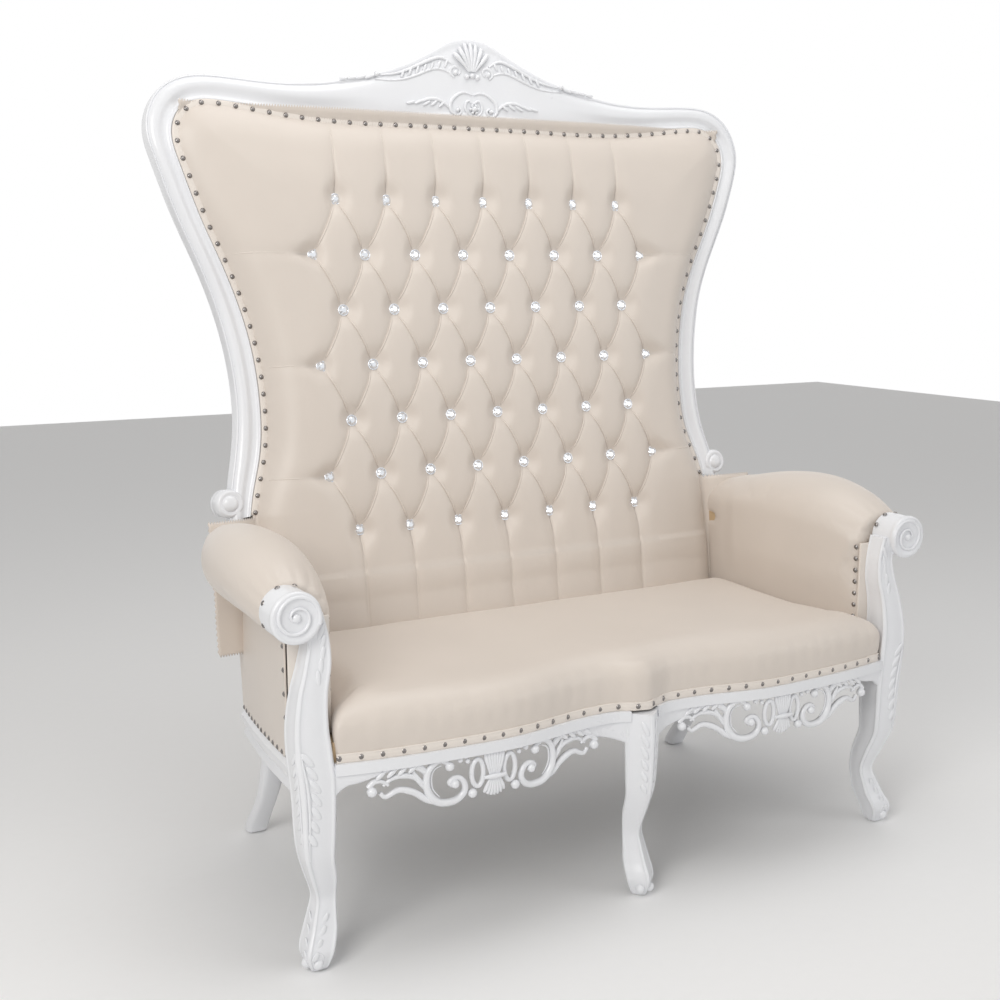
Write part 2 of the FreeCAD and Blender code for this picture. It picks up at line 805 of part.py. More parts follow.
# Side view of a cabriole leg: height share, offset, half depth, half width (shares of
# the knee's depth)
LEG_SHAPE = [
    (1.0, 0.0, 0.50, 0.50), (0.86, 0.0, 0.51, 0.47), (0.71, -0.01, 0.50, 0.43),
    (0.61, -0.045, 0.49, 0.37), (0.49, -0.24, 0.45, 0.32), (0.37, -0.36, 0.30, 0.31),
    (0.27, -0.28, 0.33, 0.34), (0.19, -0.15, 0.40, 0.385), (0.10, 0.03, 0.43, 0.385),
    (0.035, 0.03, 0.30, 0.30), (0.0, 0.03, 0.24, 0.25),
]


def cabriole(x, y, way, side, knee, foot):
    """A cabriole leg that steps out along one way in plan."""
    across = Vector(-way.y, way.x, 0)
    top = size("leg_joint") + 18
    wires = []
    for up, offset, deep, wide in LEG_SHAPE:
        level = foot + up * (top - foot)
        centre = Vector(x, y, level) + way * (offset * knee)
        power = 1.25 + 0.45 * max(0.0, up - 0.5)
        wires.append(ring(superellipse(centre, way, across, deep * knee, wide * knee, power)))
    leg = loft(wires)
    block = Part.makeBox(
        side, side, size("rail_top") - size("leg_joint"),
        Vector(x + 3 * math.copysign(1, way.x) * (abs(way.x) > 0.1) - side / 2,
               y - side / 2 + 3, size("leg_joint"))
    )
    return leg.fuse(block)


def corner_leg():
    diagonal = Vector(1, -1, 0)
    diagonal.normalize()
    return cabriole(
        size("corner_foot_half"), size("front_line"), diagonal, size("block_side"),
        size("leg_size"), size("glide_height")
    )


def centre_leg():
    leg = cabriole(
        0, size("front_line") - size("centre_foot_ahead"), Vector(0, -1, 0),
        size("centre_block"), 0.92 * size("leg_size"), size("glide_height")
    )
    cover = plan_strip(-200, size("skirt_thick") + 0.7, size("skirt_bottom") - 1, 600, -200, 200)
    return leg.cut(cover)


# Arms

def arm_sections():
    """Share of the arm's length, roll radius share, axis height and axis x offsets."""
    return [
        (0.0, 0.64, -37, 3), (0.16, 0.88, -14, 3), (0.40, 1.0, 0, 0),
        (0.64, 0.95, -4, -14), (0.86, 0.74, -14, -38), (1.0, 0.60, -22, -50),
    ]


def arm_span():
    start = size("front_line") + size("arm_volute_depth") - size("post_front") + CLEAR
    rear = size("side_rear_y") + 6
    return start, rear


def arm_section(share, radius_share, rise, shift):
    """One slice of the arm's upholstery: inner face, roll and the return under it."""
    start, rear = arm_span()
    y = start + share * (rear - start)
    inner = side_face(share)
    foot = size("rail_top") + CLEAR
    radius = radius_share * size("roll_radius")
    centre_x = size("roll_half") + shift
    centre_z = size("roll_height") + rise
    panel = side_line(share) - size("cover_thick") - 4 - 4 * share
    root = min(inner + size("arm_pad_thick"), panel)
    turn_z = centre_z - 0.35 * radius
    crown = Vector(centre_x, y, centre_z + radius)
    corner = 1 - math.cos(math.pi / 4)
    shoulder = Vector(
        inner + corner * (centre_x - inner), y,
        turn_z + math.sin(math.pi / 4) * (crown.z - turn_z)
    )
    under = Vector(
        centre_x + radius * math.cos(math.radians(-75)), y,
        centre_z + radius * math.sin(math.radians(-75))
    )
    outer = Vector(centre_x + radius, y, centre_z)
    edges = [
        Part.makeLine(Vector(inner, y, foot), Vector(inner, y, turn_z)),
        Part.Arc(Vector(inner, y, turn_z), shoulder, crown).toShape(),
        Part.Arc(crown, outer, under).toShape(),
        Part.makeLine(under, Vector(root, y, under.z)),
        Part.makeLine(Vector(root, y, under.z), Vector(root, y, foot)),
        Part.makeLine(Vector(root, y, foot), Vector(inner, y, foot)),
    ]
    return Part.Wire(edges)


def arm_rail(extra=0.0):
    """Hidden rail under the roll, from the arm post back to the rear post's side."""
    height = size("arm_volute_z") - 34
    half = size("arm_rail_width") / 2
    start, rear = arm_span()
    end_x = size("post_half") + size("post_width") / 2 + CLEAR + half
    wires = []
    for x, y in ((size("arm_volute_x") - 44, start - extra), (end_x, rear - CLEAR + extra)):
        side = half + extra
        rise = size("arm_rail_height") / 2 + extra
        wires.append(polygon([
            Vector(x - side, y, height - rise), Vector(x + side, y, height - rise),
            Vector(x + side, y, height + rise), Vector(x - side, y, height + rise),
        ]))
    return loft(wires, True)


def arm_pad():
    sections = [arm_section(*row) for row in arm_sections()]
    return loft(sections).cut(arm_rail(CLEAR))


# Side view of the arm post: height share, inner x and outer x and front offsets
POST_SHAPE = [
    (0.0, 0, 66, 4), (0.14, 6, 70, 9), (0.30, 4, 66, 9), (0.50, -4, 55, 1),
    (0.70, -9, 44, -4), (0.88, -10, 38, -8), (1.0, -6, 36, -8),
]


def arm_post():
    """The S shaped arm post with the volute that the roll ends on."""
    foot = size("rail_top")
    top = size("arm_volute_z") - 10
    base = size("corner_foot_half") + 3 - size("block_side") / 2
    front = size("front_line") - size("post_front")
    wires = []
    for up, inner, wide, ahead in POST_SHAPE:
        level = foot + up * (top - foot)
        half = wide / 2
        depth = min(half + 2, 33)
        centre = Vector(base + inner + half, front - ahead + depth, level)
        first = Vector(1, 0, 0)
        second = Vector(0, 1, 0)
        wires.append(ring(square_points(centre, first, second, half, depth)))
    post = loft(wires)
    volute = Part.makeCylinder(
        size("arm_volute_radius"), size("arm_volute_depth"),
        Vector(size("arm_volute_x"), front, size("arm_volute_z")), Vector(0, 1, 0)
    )
    boss = Part.makeCone(
        10, 17, 6, Vector(size("arm_volute_x"), front - 6, size("arm_volute_z")), Vector(0, 1, 0)
    )
    behind = Part.makeBox(400, 200, 600, Vector(500, arm_span()[0] - CLEAR, foot - 10))
    return post.multiFuse([volute, boss]).cut(behind)


def square_points(centre, first, second, first_half, second_half):
    """Points round a soft-cornered rectangle."""
    points = []
    for index in range(16):
        angle = (index + 0.5) * math.pi / 8
        cosine = math.cos(angle)
        sine = math.sin(angle)
        along = math.copysign(abs(cosine) ** 0.55, cosine) * first_half
        across = math.copysign(abs(sine) ** 0.55, sine) * second_half
        points.append(centre + first * along + second * across)
    return points


def side_front():
    """Where a side rail leaves its front leg's block."""
    return size("front_line") + 3 + size("block_side") / 2 + CLEAR


def side_line(share):
    """Outer face of a side rail: x at a share of its length."""
    front = size("side_front_half")
    bulge = 6 * math.sin(math.pi * share)
    return front + share * (size("side_rear_half") - front) + bulge


def side_top(share):
    return size("side_top_front") - share * size("side_drop")


def side_rail():
    """A side rail: level top inside, and a moulding that falls to the rear outside."""
    start = side_front()
    rear = size("side_rear_y")
    wires = []
    for share in (0.0, 0.33, 0.66, 1.0):
        y = start + share * (rear - start)
        outer = side_line(share)
        inner = outer - size("rail_thick") - 6
        top = side_top(share)
        low = top - size("side_moulding")
        cover = outer - size("cover_thick") - 2.6
        wires.append(polygon([
            Vector(inner, y, low + 6), Vector(outer - 10, y, low), Vector(outer - 1, y, low + 12),
            Vector(outer - 7, y, low + 26), Vector(outer + 3, y, low + 44),
            Vector(outer + 3, y, top - 8), Vector(cover, y, top),
            Vector(cover, y, size("rail_top")), Vector(inner, y, size("rail_top")),
        ]))
    return loft(wires, True)


PANEL_STEPS = 4
PANEL_SWELL = 5
PANEL_BEND = 0.45


def panel_levels(share):
    """Foot, bend and top heights of the outside arm panel at a share of its length."""
    low = side_top(share) + 1
    high = size("arm_volute_z") - 52
    return low, low + PANEL_BEND * (high - low), high


def outside_arm():
    """The leather covered panel outside an arm, from the rail up under the roll."""
    start = side_front()
    rear = size("side_rear_y")
    thick = size("cover_thick")
    wires = []
    for step in range(PANEL_STEPS + 1):
        share = step / PANEL_STEPS
        y = start + share * (rear - start)
        base = side_line(share) - 2
        low, bend, high = panel_levels(share)
        lean = PANEL_SWELL + 1 - 9 * share
        middle = base + PANEL_SWELL
        wires.append(polygon([
            Vector(base - thick, y, low), Vector(base, y, low), Vector(middle, y, bend),
            Vector(base + lean, y, high), Vector(base + lean - thick, y, high),
            Vector(middle - thick, y, bend),
        ]))
    return loft(wires, True)


def panel_spot(share, level):
    """A point on the outside arm panel and the way out of it there."""
    step = min(PANEL_STEPS - 1, int(share * PANEL_STEPS))
    ahead, behind = step / PANEL_STEPS, (step + 1) / PANEL_STEPS
    part_way = share * PANEL_STEPS - step
    x = side_line(ahead) * (1 - part_way) + side_line(behind) * part_way - 2
    run = (size("side_rear_y") - side_front()) / PANEL_STEPS
    turn = (side_line(ahead) - side_line(behind)) / run
    low, bend, high = panel_levels(share)
    if level < bend:
        lift = PANEL_SWELL / (bend - low)
        x += lift * (level - low)
    else:
        lift = (1 - 9 * share) / (high - bend)
        x += PANEL_SWELL + lift * (level - bend)
    y = side_front() + share * (size("side_rear_y") - side_front())
    return Vector(x, y, level), Vector(1, turn, -lift)


# Rear posts

def rear_post():
    """Sabre leg and raked post in one piece."""
    half = size("post_width") / 2
    centre = size("post_half")
    outline = Part.Face(polygon([
        Vector(centre - half, 0, size("post_foot")), Vector(centre + half, 0, size("post_foot")),
        Vector(centre + half, 0, size("post_top") - CLEAR),
        Vector(centre - half, 0, size("post_top") - CLEAR),
    ]))
    raked = through(outline).common(FRAME_SLAB)
    raked.Placement = BACK_PLACE
    deep = size("frame_set") + bow_at(size("post_foot")) + size("frame_thick") / 2
    head = BACK_PLACE.multVec(Vector(centre, deep, size("post_foot") + 20))
    foot_level = size("glide_height")
    shape = [(1.0, 0.0, 1.0), (0.8, 0.02, 1.0), (0.6, 0.13, 0.94), (0.4, 0.34, 0.86),
             (0.2, 0.66, 0.84), (0.07, 0.9, 0.9), (0.0, 1.0, 0.86)]
    wires = []
    for up, back, wide in shape:
        x = centre + back * (size("rear_foot_x") - centre)
        y = head.y + back * (size("rear_foot_y") - head.y)
        level = foot_level + up * (head.z - foot_level)
        spot = Vector(x, y, level)
        wires.append(ring(square_points(spot, ACROSS, Vector(0, 1, 0), half * wide,
                                        0.5 * size("frame_thick") * wide)))
    return loft(wires).fuse(raked)


# Small hardware

def spring_end():
    """Where the springs' rear turns lie on the rear rail."""
    return rear_rail_front() + 12


def spring_turns():
    """How many half turns fit between the two rails."""
    room = spring_end() - size("front_line") + 14
    return int(room // (2 * size("spring_radius")))


def spring_start():
    """Where the springs' front turns lie on the front rail."""
    return spring_end() - spring_turns() * 2 * size("spring_radius")


def rear_rail_front():
    """Front face of the rear seat rail, between the rear posts."""
    return size("back_y") + 11


def sinuous_spring(x):
    """One zigzag wire from the front rail to the rear rail."""
    radius = size("spring_radius")
    run = size("spring_run")
    y = spring_start()
    turns = spring_turns()
    level = size("rail_top") + size("wire") / 2
    side = 1
    edges = []
    for index in range(turns):
        here = Vector(x + side * run / 2, y, level)
        far = Vector(x + side * run / 2, y + 2 * radius, level)
        peak = Vector(x + side * (run / 2 + radius), y + radius, level)
        edges.append(Part.Arc(here, peak, far).toShape())
        if index < turns - 1:
            edges.append(Part.makeLine(far, Vector(x - side * run / 2, far.y, level)))
        y += 2 * radius
        side = -side
    path = Part.Wire(edges)
    first = edges[0].Vertexes[0].Point
    profile = Part.Wire(Part.makeCircle(size("wire") / 2, first, Vector(1, 0, 0)))
    return path.makePipeShell([profile], True, False)


def spring_places():
    count = int(size("spring_count"))
    return [(index - (count - 1) / 2) * size("spring_pitch") for index in range(count)]


def spring_clips():
    """A stamped clip over each end of each spring."""
    level = size("rail_top")
    thick = size("wire") + size("clip_thick")
    clips = []
    for x in spring_places():
        for y in (spring_start(), spring_end()):
            plate = Part.makeBox(16, 9, thick, Vector(x - 8, y - 4.5, level))
            groove = Part.makeBox(
                18, size("wire") + 0.4, size("wire") + 0.2,
                Vector(x - 9, y - size("wire") / 2 - 0.2, level)
            )
            clips.append(plate.cut(groove))
    return Part.Compound(clips)


def deck_level():
    """Underside of the deck cloth, on the spring clips."""
    return size("rail_top") + size("wire") + size("clip_thick") + CLEAR


def seat_deck():
    """Deck cloth laid over the springs, from the front rail to the rear rail."""
    half = size("post_half") - size("post_width") / 2 - 8
    front = size("skirt_thick") + 2
    cloth = plan_strip(front, 650, deck_level(), deck_level() + size("deck_thick"), -half, half)
    rear = rear_rail_front() + 15
    keep = Part.makeBox(2 * half, 700, 60, Vector(-half, rear - 700, deck_level() - 10))
    return cloth.common(keep)


def strip():
    """Leather strip under the nails, laid on the front of the back frame."""
    outer = through(pad_outline(size("strip_width") / 2))
    inner = through(pad_outline(-size("strip_width") / 2))
    zone = back_box(-WIDE, WIDE, size("volute_height") - 30, size("crest_top"))
    space = slab(size("frame_set") - size("strip_thick"), size("frame_set"))
    return outer.cut(inner).common(zone).common(space)


def back_nails():
    """Nails along the leather strip, square to the back."""
    places = nails_along(NAILS, size("nail_pitch"), Vector(0, -1, 0), 6)
    moved = []
    for place in places:
        spot = place.Base
        level = bow_at(spot.z) + size("frame_set") - size("strip_thick")
        moved.append(Placement(Vector(spot.x, level - 0.6, spot.z), place.Rotation))
    return copies(nail(), moved)


def seat_nails():
    """Nails along the lower edge of the seat's front."""
    spline = front_edge(0)
    spots = nails_along(spline, size("seat_nail_pitch"), Vector(0, -1, 0), 8)
    level = size("skirt_bottom") + 8
    moved = []
    for place in spots:
        at = spline.parameter(place.Base)
        along = spline.tangent(at)[0]
        way = Vector(along.y, -along.x, 0)
        spot = Vector(place.Base.x, place.Base.y, level) - way * size("nail_seat")
        moved.append(Placement(spot, Rotation(Vector(0, 0, 1), way)))
    return copies(nail(), moved)


def side_nails():
    """Nails along the foot of the outside arm panel and up beside the arm post."""
    spots = []
    count = 13
    for index in range(count):
        share = 0.04 + 0.92 * index / (count - 1)
        spots.append((share, side_top(share) + 9))
    low = side_top(0) + 40
    high = size("arm_volute_z") - 70
    for index in range(5):
        spots.append((0.018, low + (high - low) * index / 4))
    places = []
    for share, level in spots:
        spot, way = panel_spot(share, level)
        way.normalize()
        places.append(Placement(spot + way * 0.15, Rotation(Vector(0, 0, 1), way)))
    return copies(nail(), places)


def arm_nails():
    """Nails down the front edge of the inner arm and round its volute."""
    places = []
    low = size("seat_edge") + 20
    high = size("arm_volute_z") - 28
    start, rear = arm_span()
    share = 9 / (rear - start)
    turn = (side_face(0.0) - side_face(2 * share)) / 18
    way = Vector(-1, -turn, 0)
    way.normalize()
    for index in range(7):
        level = low + (high - low) * index / 6
        spot = Vector(side_face(share), start + 9, level) + way * 0.3
        places.append(Placement(spot, Rotation(Vector(0, 0, 1), way)))
    for angle in (150, 110, 70, 25, -25):
        way = Vector(math.cos(math.radians(angle)), 0, math.sin(math.radians(angle)))
        centre = Vector(size("arm_volute_x"), start - 8, size("arm_volute_z"))
        places.append(Placement(
            centre + way * size("arm_volute_radius"), Rotation(Vector(0, 0, 1), way)
        ))
    return copies(nail(), places)


def corner_block(x, y, forward):
    """Triangular block in a corner of the seat frame, its square corner at x and y."""
    leg = size("corner_block_leg")
    height = size("corner_block_height")
    face = Part.Face(polygon([Vector(0, 0, 0), Vector(-leg, 0, 0), Vector(0, forward * leg, 0)]))
    block = face.extrude(Vector(0, 0, height))
    block.translate(Vector(x, y, size("rail_top") - height - 6))
    return block


def block_corners():
    """Square corners of the two right-hand blocks: x, y and which way they open."""
    front_y = size("front_line") - 32 - 0.3 * size("front_bow")
    front_y += size("skirt_thick") + 1 + size("rail_thick")
    return [
        (size("side_front_half") - size("rail_thick"), front_y, 1),
        (size("side_rear_half") - 5, rear_rail_front() - CLEAR, -1),
    ]


def screw_lines():
    """Start and direction of each block screw: into the cross rail, and into the side."""
    level = size("rail_top") - size("corner_block_height") / 2 - 6
    leg = size("corner_block_leg")
    lines = []
    for x, y, forward in block_corners():
        for share, way in ((0.7, Vector(0, -forward, 0)), (0.36, Vector(1, 0, 0))):
            spot = Vector(x - share * leg, y + forward * (1 - share) * leg, level)
            lines.append((spot + way * 5, way))
    return lines


def block_screws():
    """Countersunk screws through the right-hand corner blocks."""
    radius = size("screw_radius")
    screws = []
    for spot, way in screw_lines():
        shank = Part.makeCylinder(radius, size("screw_length"), spot, way)
        head = Part.makeCone(1.9 * radius, radius, 5, spot, way)
        screws.append(shank.fuse(head).removeSplitter())
    return screws


def screw_holes():
    """Clearance for the block screws and their sunk heads."""
    radius = size("screw_radius")
    tools = []
    for spot, way in screw_lines():
        tools.append(Part.makeCylinder(
            radius + 0.2, 30 + size("screw_length") + 0.5, spot - way * 30, way
        ))
        tools.append(Part.makeCylinder(1.9 * radius + 0.2, 35.2, spot - way * 30, way))
    return tools


def outside_back():
    """Leather covered panel that closes the back from behind."""
    shape = through(closed_below(
        shifted(NAILS, 14), size("post_half") + size("post_width") / 2, size("post_foot") + 60
    ))
    rear = size("frame_set") + size("frame_thick")
    return shape.common(slab(rear + CLEAR / 3, rear + size("back_panel_thick")))


def back_slat(x, crest):
    """Upright slat from the lower rail to the crest, behind the webbing."""
    front = size("frame_set") + size("webbing_thick") + CLEAR
    low = size("pad_foot") + 70
    half = size("slat_width") / 2
    zone = back_box(x - half, x + half, low, size("pad_top"))
    return zone.common(slab(front, front + size("slat_thick"))).cut(crest)


def back_lower_rail():
    """Rail between the rear posts, behind the foot of the pad."""
    half = size("post_half") - size("post_width") / 2 - CLEAR
    zone = back_box(-half, half, size("pad_foot") + 10, size("pad_foot") + 70)
    return zone.common(slab(size("frame_set"), size("frame_set") + 32))


def frame_dowels():
    """Dowels of the right half: crest to stile, and stile to rear post."""
    length = size("dowel_length")
    joints = []
    middle = size("corner_half") - size("frame_width") / 2 - 16
    for shift in (-14, 14):
        joints.append((middle + shift, size("stile_joint")))
    for shift in (-9, 9):
        joints.append((size("post_half") + shift, size("post_top")))
    dowels = []
    for x, height in joints:
        deep = bow_at(height) + size("frame_set") + size("frame_thick") / 2
        start = Vector(x, deep, height - length / 2)
        dowels.append(Part.makeCylinder(size("dowel_radius"), length, start))
    return dowels


def rail_bolts(extra=0.0):
    """Bolts sunk through a rear post into the end of the lower back rail."""
    half = size("post_half") + size("post_width") / 2
    sunk = 3.5
    bolts = []
    for height in (size("pad_foot") + 25, size("pad_foot") + 55):
        deep = bow_at(height) + size("frame_set") + 16
        spot = Vector(half - 0.3 + 2 * extra, deep, height)
        way = Vector(-1, 0, 0)
        shank = Part.makeCylinder(size("bolt_radius") + extra, 95 + 3 * extra, spot, way)
        head = Part.makeCylinder(2 * size("bolt_radius") + extra, sunk + 3 * extra, spot, way)
        bolts.append(shank.fuse(head).removeSplitter())
    return bolts


# Carving of the crest, laid on its flat front face

def relief(shape):
    """The half of a carving that stands before the crest's face."""
    keep = Part.makeBox(2000, 60, 2000, Vector(-1000, size("frame_set") - 60.1, 0))
    return shape.common(keep)


def crest_shell():
    """The fluted fan on the crown."""
    foot = Vector(0, size("frame_set"), size("crest_top") - 12 - size("shell_radius"))
    flutes = []
    for index in range(7):
        angle = math.radians(90 + (index - 3) * 21)
        way = Vector(math.cos(angle), 0, math.sin(angle))
        reach = size("shell_radius") * (1 - 0.05 * abs(index - 3))
        flutes.append(Part.makeCone(2.5, 0.85 * size("carving"), reach - 8, foot, way))
        tip = foot + way * (reach - 11)
        flutes.append(Part.makeSphere(0.96 * size("carving"), tip))
    flutes.append(Part.makeSphere(1.3 * size("carving"), foot))
    return relief(flutes[0].multiFuse(flutes[1:]))


def crest_band():
    """Ribbed band that runs from the shell down the crown's edge."""
    half = size("crest_half")
    rise = size("crest_top") - size("shoulder")
    edge = curve([Vector(half, 0, size("shoulder"))] + [
        Vector(out * half, 0, size("shoulder") + up * rise) for out, up in CROWN_SHAPE])
    ribs = []
    count = 11
    for index in range(count):
        share = 0.36 + 0.64 * index / (count - 1)
        at = edge.FirstParameter + share * (edge.LastParameter - edge.FirstParameter)
        spot = edge.value(at)
        along = edge.tangent(at)[0]
        way = Vector(-along.z, 0, along.x) * -1
        radius = 4 + 4 * index / (count - 1)
        inner = spot + way * (-radius - 3)
        inner.y = size("frame_set")
        if way.z > 0:
            inner = spot - way * (radius + 3)
            inner.y = size("frame_set")
        ribs.append(Part.makeSphere(radius, inner))
    return relief(ribs[0].multiFuse(ribs[1:]).removeSplitter())


def crest_scroll():
    """C scroll beside the small cartouche, under the crown."""
    level = size("pad_top") + 42
    big = Part.makeTorus(19, 5, Vector(62, size("frame_set"), level), Vector(0, 1, 0))
    small = Part.makeTorus(11, 4, Vector(98, size("frame_set"), level - 6), Vector(0, 1, 0))
    leaf = Part.makeCone(5, 1.5, 46, Vector(112, size("frame_set"), level - 10), Vector(1, 0, -0.12))
    return relief(big.multiFuse([small, leaf]))


def cartouche():
    """The small domed boss between the two scrolls."""
    level = size("pad_top") + 44
    dome = Part.makeSphere(26, Vector(0, size("frame_set") + 16, level))
    rim = Part.makeTorus(22, 5, Vector(0, size("frame_set"), level), Vector(0, 1, 0))
    return relief(dome.fuse(rim))


def webbing():
    """Level webbing strips across the opening of the back frame."""
    strips = []
    count = 6
    low = size("post_top") + size("webbing_width") / 2 + 6
    high = size("pad_top") - 40
    space = slab(size("frame_set"), size("frame_set") + size("webbing_thick"))
    for index in range(count):
        level = low + (high - low) * index / (count - 1)
        zone = back_box(-WIDE, WIDE, level - size("webbing_width") / 2,
                        level + size("webbing_width") / 2)
        strips.append(zone.common(space).common(OPENING).Solids[0])
    return Part.Compound(strips)


def dust_cover(frame):
    """Thin cloth tacked up inside the seat frame, under its front rails."""
    low = size("front_rail_bottom") - size("dust_thick")
    cloth = plan_strip(size("apron_thick") + 1, 650, low, low + size("dust_thick"), -WIDE, WIDE)
    rear = rear_rail_front() - CLEAR
    keep = Part.makeBox(2 * WIDE, 700, 20, Vector(-WIDE, rear - 700, low - 5))
    whole = cloth.common(keep).cut(frame)
    return max(whole.Solids, key=lambda solid: solid.Volume)


# Building the pieces

dowels_right = frame_dowels()
bolts_right = rail_bolts()
screws_right = block_screws()
screw_tools = screw_holes()
DOWEL_HOLES = [Part.makeCylinder(
    size("dowel_radius") + 0.2, size("dowel_length") + 1,
    solid.BoundBox.Center - Vector(0, 0, size("dowel_length") / 2 + 0.5)
) for solid in dowels_right]


def other_side(solids):
    """Mirror images of solids across the middle plane."""
    return [solid.mirror(Vector(), ACROSS) for solid in solids]


BOLT_HOLES = rail_bolts(0.2)
both_dowel_holes = DOWEL_HOLES + other_side(DOWEL_HOLES)
crest_shape = crest_rail()
feature("crest_rail", crest_shape.cut(both_dowel_holes), BACK_PLACE)
stile_right = feature("back_stile_right", back_stile().cut(DOWEL_HOLES), BACK_PLACE)
mirrored("back_stile_left", stile_right)
post_shape = rear_post()
local_holes = []
for solid in DOWEL_HOLES + BOLT_HOLES:
    moved = solid.copy()
    moved.Placement = BACK_PLACE.multiply(moved.Placement)
    local_holes.append(moved)
post_right = feature("rear_post_right", post_shape.cut(local_holes + screw_tools))
mirrored("rear_post_left", post_right)
lower_rail = back_lower_rail().cut(BOLT_HOLES + other_side(BOLT_HOLES))
feature("back_lower_rail", lower_rail, BACK_PLACE)
feature("frame_dowels", Part.Compound(dowels_right + other_side(dowels_right)), BACK_PLACE)
feature("back_bolts", Part.Compound(bolts_right + other_side(bolts_right)), BACK_PLACE)
slats = [back_slat(x, crest_shape) for x in (-260, 0, 260)]
feature("back_slats", Part.Compound(slats), BACK_PLACE)
feature("back_webbing", webbing(), BACK_PLACE)
feature("outside_back", outside_back(), BACK_PLACE)

feature("crest_shell", crest_shell(), BACK_PLACE)
band_right = feature("crest_band_right", crest_band(), BACK_PLACE)
mirrored("crest_band_left", band_right)
scroll_right = feature("crest_scroll_right", crest_scroll(), BACK_PLACE)
mirrored("crest_scroll_left", scroll_right)
feature("crest_cartouche", cartouche(), BACK_PLACE)

front_rail_right = feature("front_rail_right", front_rail().cut(screw_tools))
mirrored("front_rail_left", front_rail_right)
moulding_right = feature("front_moulding_right", front_moulding())
mirrored("front_moulding_left", moulding_right)
leg_right = feature("front_leg_right", corner_leg())
mirrored("front_leg_left", leg_right)
leg_centre = feature("front_leg_centre", centre_leg())
apron_right = feature("carved_apron_right", apron([leg_right.Shape, leg_centre.Shape]))
mirrored("carved_apron_left", apron_right)
side_shape = side_rail().cut([leg_right.Shape] + screw_tools)
side_rail_right = feature("side_rail_right", side_shape)
mirrored("side_rail_left", side_rail_right)
bind_rear = "{post_half} * 2 - {post_width} - 0.6"
rear_rail = board(
    "rear_seat_rail", bind_rear, "{rear_rail_thick}", "{rail_top} - {rear_rail_bottom}",
    ("0", "{back_y} + 11 + {rear_rail_thick} / 2", "{rear_rail_bottom}")
)
stretcher = board(
    "centre_stretcher", "40",
    "{back_y} + 11 - {front_line} + {centre_foot_ahead} - {centre_block} / 2 - 3.6",
    "{rail_top} - {front_rail_bottom} - 6",
    ("0",
     "({back_y} + 11 + {front_line} - {centre_foot_ahead} + {centre_block} / 2 + 3) / 2",
     "{front_rail_bottom}")
)
doc.recompute()

blocks = []
for x, y, forward in block_corners():
    block = corner_block(x, y, forward)
    keep = block.cut([front_rail_right.Shape, leg_right.Shape, side_rail_right.Shape,
                      post_right.Shape, rear_rail.Shape] + screw_tools)
    blocks.append(max(keep.Solids, key=lambda solid: solid.Volume))
feature("corner_blocks", Part.Compound(blocks + other_side(blocks)))
feature("block_screws", Part.Compound(screws_right + other_side(screws_right)))
arm_post_right = feature("arm_post_right", arm_post())
mirrored("arm_post_left", arm_post_right)
arm_rail_right = feature("arm_rail_right", arm_rail())
mirrored("arm_rail_left", arm_rail_right)
arm_pad_right = feature("arm_pad_right", arm_pad())
mirrored("arm_pad_left", arm_pad_right)
outside_arm_right = feature("outside_arm_right", outside_arm())
mirrored("outside_arm_left", outside_arm_right)
feature("seat_cushion", seat_cushion())
feature("seat_springs", Part.Compound([sinuous_spring(x) for x in spring_places()]))
feature("spring_clips", spring_clips())
feature("seat_deck", seat_deck())
side_rails = [side_rail_right.Shape] + other_side([side_rail_right.Shape])
legs = [leg_right.Shape, leg_centre.Shape] + other_side([leg_right.Shape])
feature("dust_cover", dust_cover(side_rails + legs))
feature("back_pad", back_pad(), BACK_PLACE)
feature("back_strip", strip(), BACK_PLACE)
feature("back_buttons", copies(button(), [Placement(c, Rotation()) for c in button_centres()]),
        BACK_PLACE)
feature("back_nails", back_nails(), BACK_PLACE)
feature("seat_nails", seat_nails())
side_nails_right = feature("side_nails_right", side_nails())
mirrored("side_nails_left", side_nails_right)
arm_nails_right = feature("arm_nails_right", arm_nails())
mirrored("arm_nails_left", arm_nails_right)


def glide(name, x, y):
    """A nail-on glide under a foot."""
    disc = doc.addObject("Part::Cylinder", name)
    bind(disc, "Radius", "{glide_radius}")
    bind(disc, "Height", "{glide_height}")
    bind(disc, "Placement.Base.x", x)
    bind(disc, "Placement.Base.y", y)
    return disc


toe = "0.03 * {leg_size}"
glides = [
    glide("glide_centre", "0",
          "{front_line} - {centre_foot_ahead} - 0.92 * " + toe),
]
for side in ("", "-"):
    glides.append(glide(
        "glide_front" + side.replace("-", "_left"),
        side + "({corner_foot_half} + " + toe + " * 0.7071)",
        "{front_line} - " + toe + " * 0.7071"
    ))
    glides.append(glide(
        "glide_rear" + side.replace("-", "_left"), side + "{rear_foot_x}", "{rear_foot_y}"
    ))
foot_glides = doc.addObject("Part::Compound", "foot_glides")
foot_glides.Label = "foot_glides"
foot_glides.Links = glides
parts.append(foot_glides)

doc.recompute()
os.makedirs("parts", exist_ok=True)
faults = []
for piece in parts:
    bad = [state for state in piece.State if state in ("Invalid", "Error")]
    if bad or piece.Shape.isNull() or not piece.Shape.isValid():
        faults.append(piece.Label)
if faults:
    raise RuntimeError("not sound: " + ", ".join(faults))
for piece in parts:
    piece.Shape.exportStep("parts/%s.step" % piece.Label)
    box = piece.Shape.BoundBox
    print("%-22s %2d solids, x %6.1f %6.1f, y %6.1f %6.1f, z %6.1f %6.1f" % (
        piece.Label, len(piece.Shape.Solids), box.XMin, box.XMax, box.YMin, box.YMax,
        box.ZMin, box.ZMax
    ))
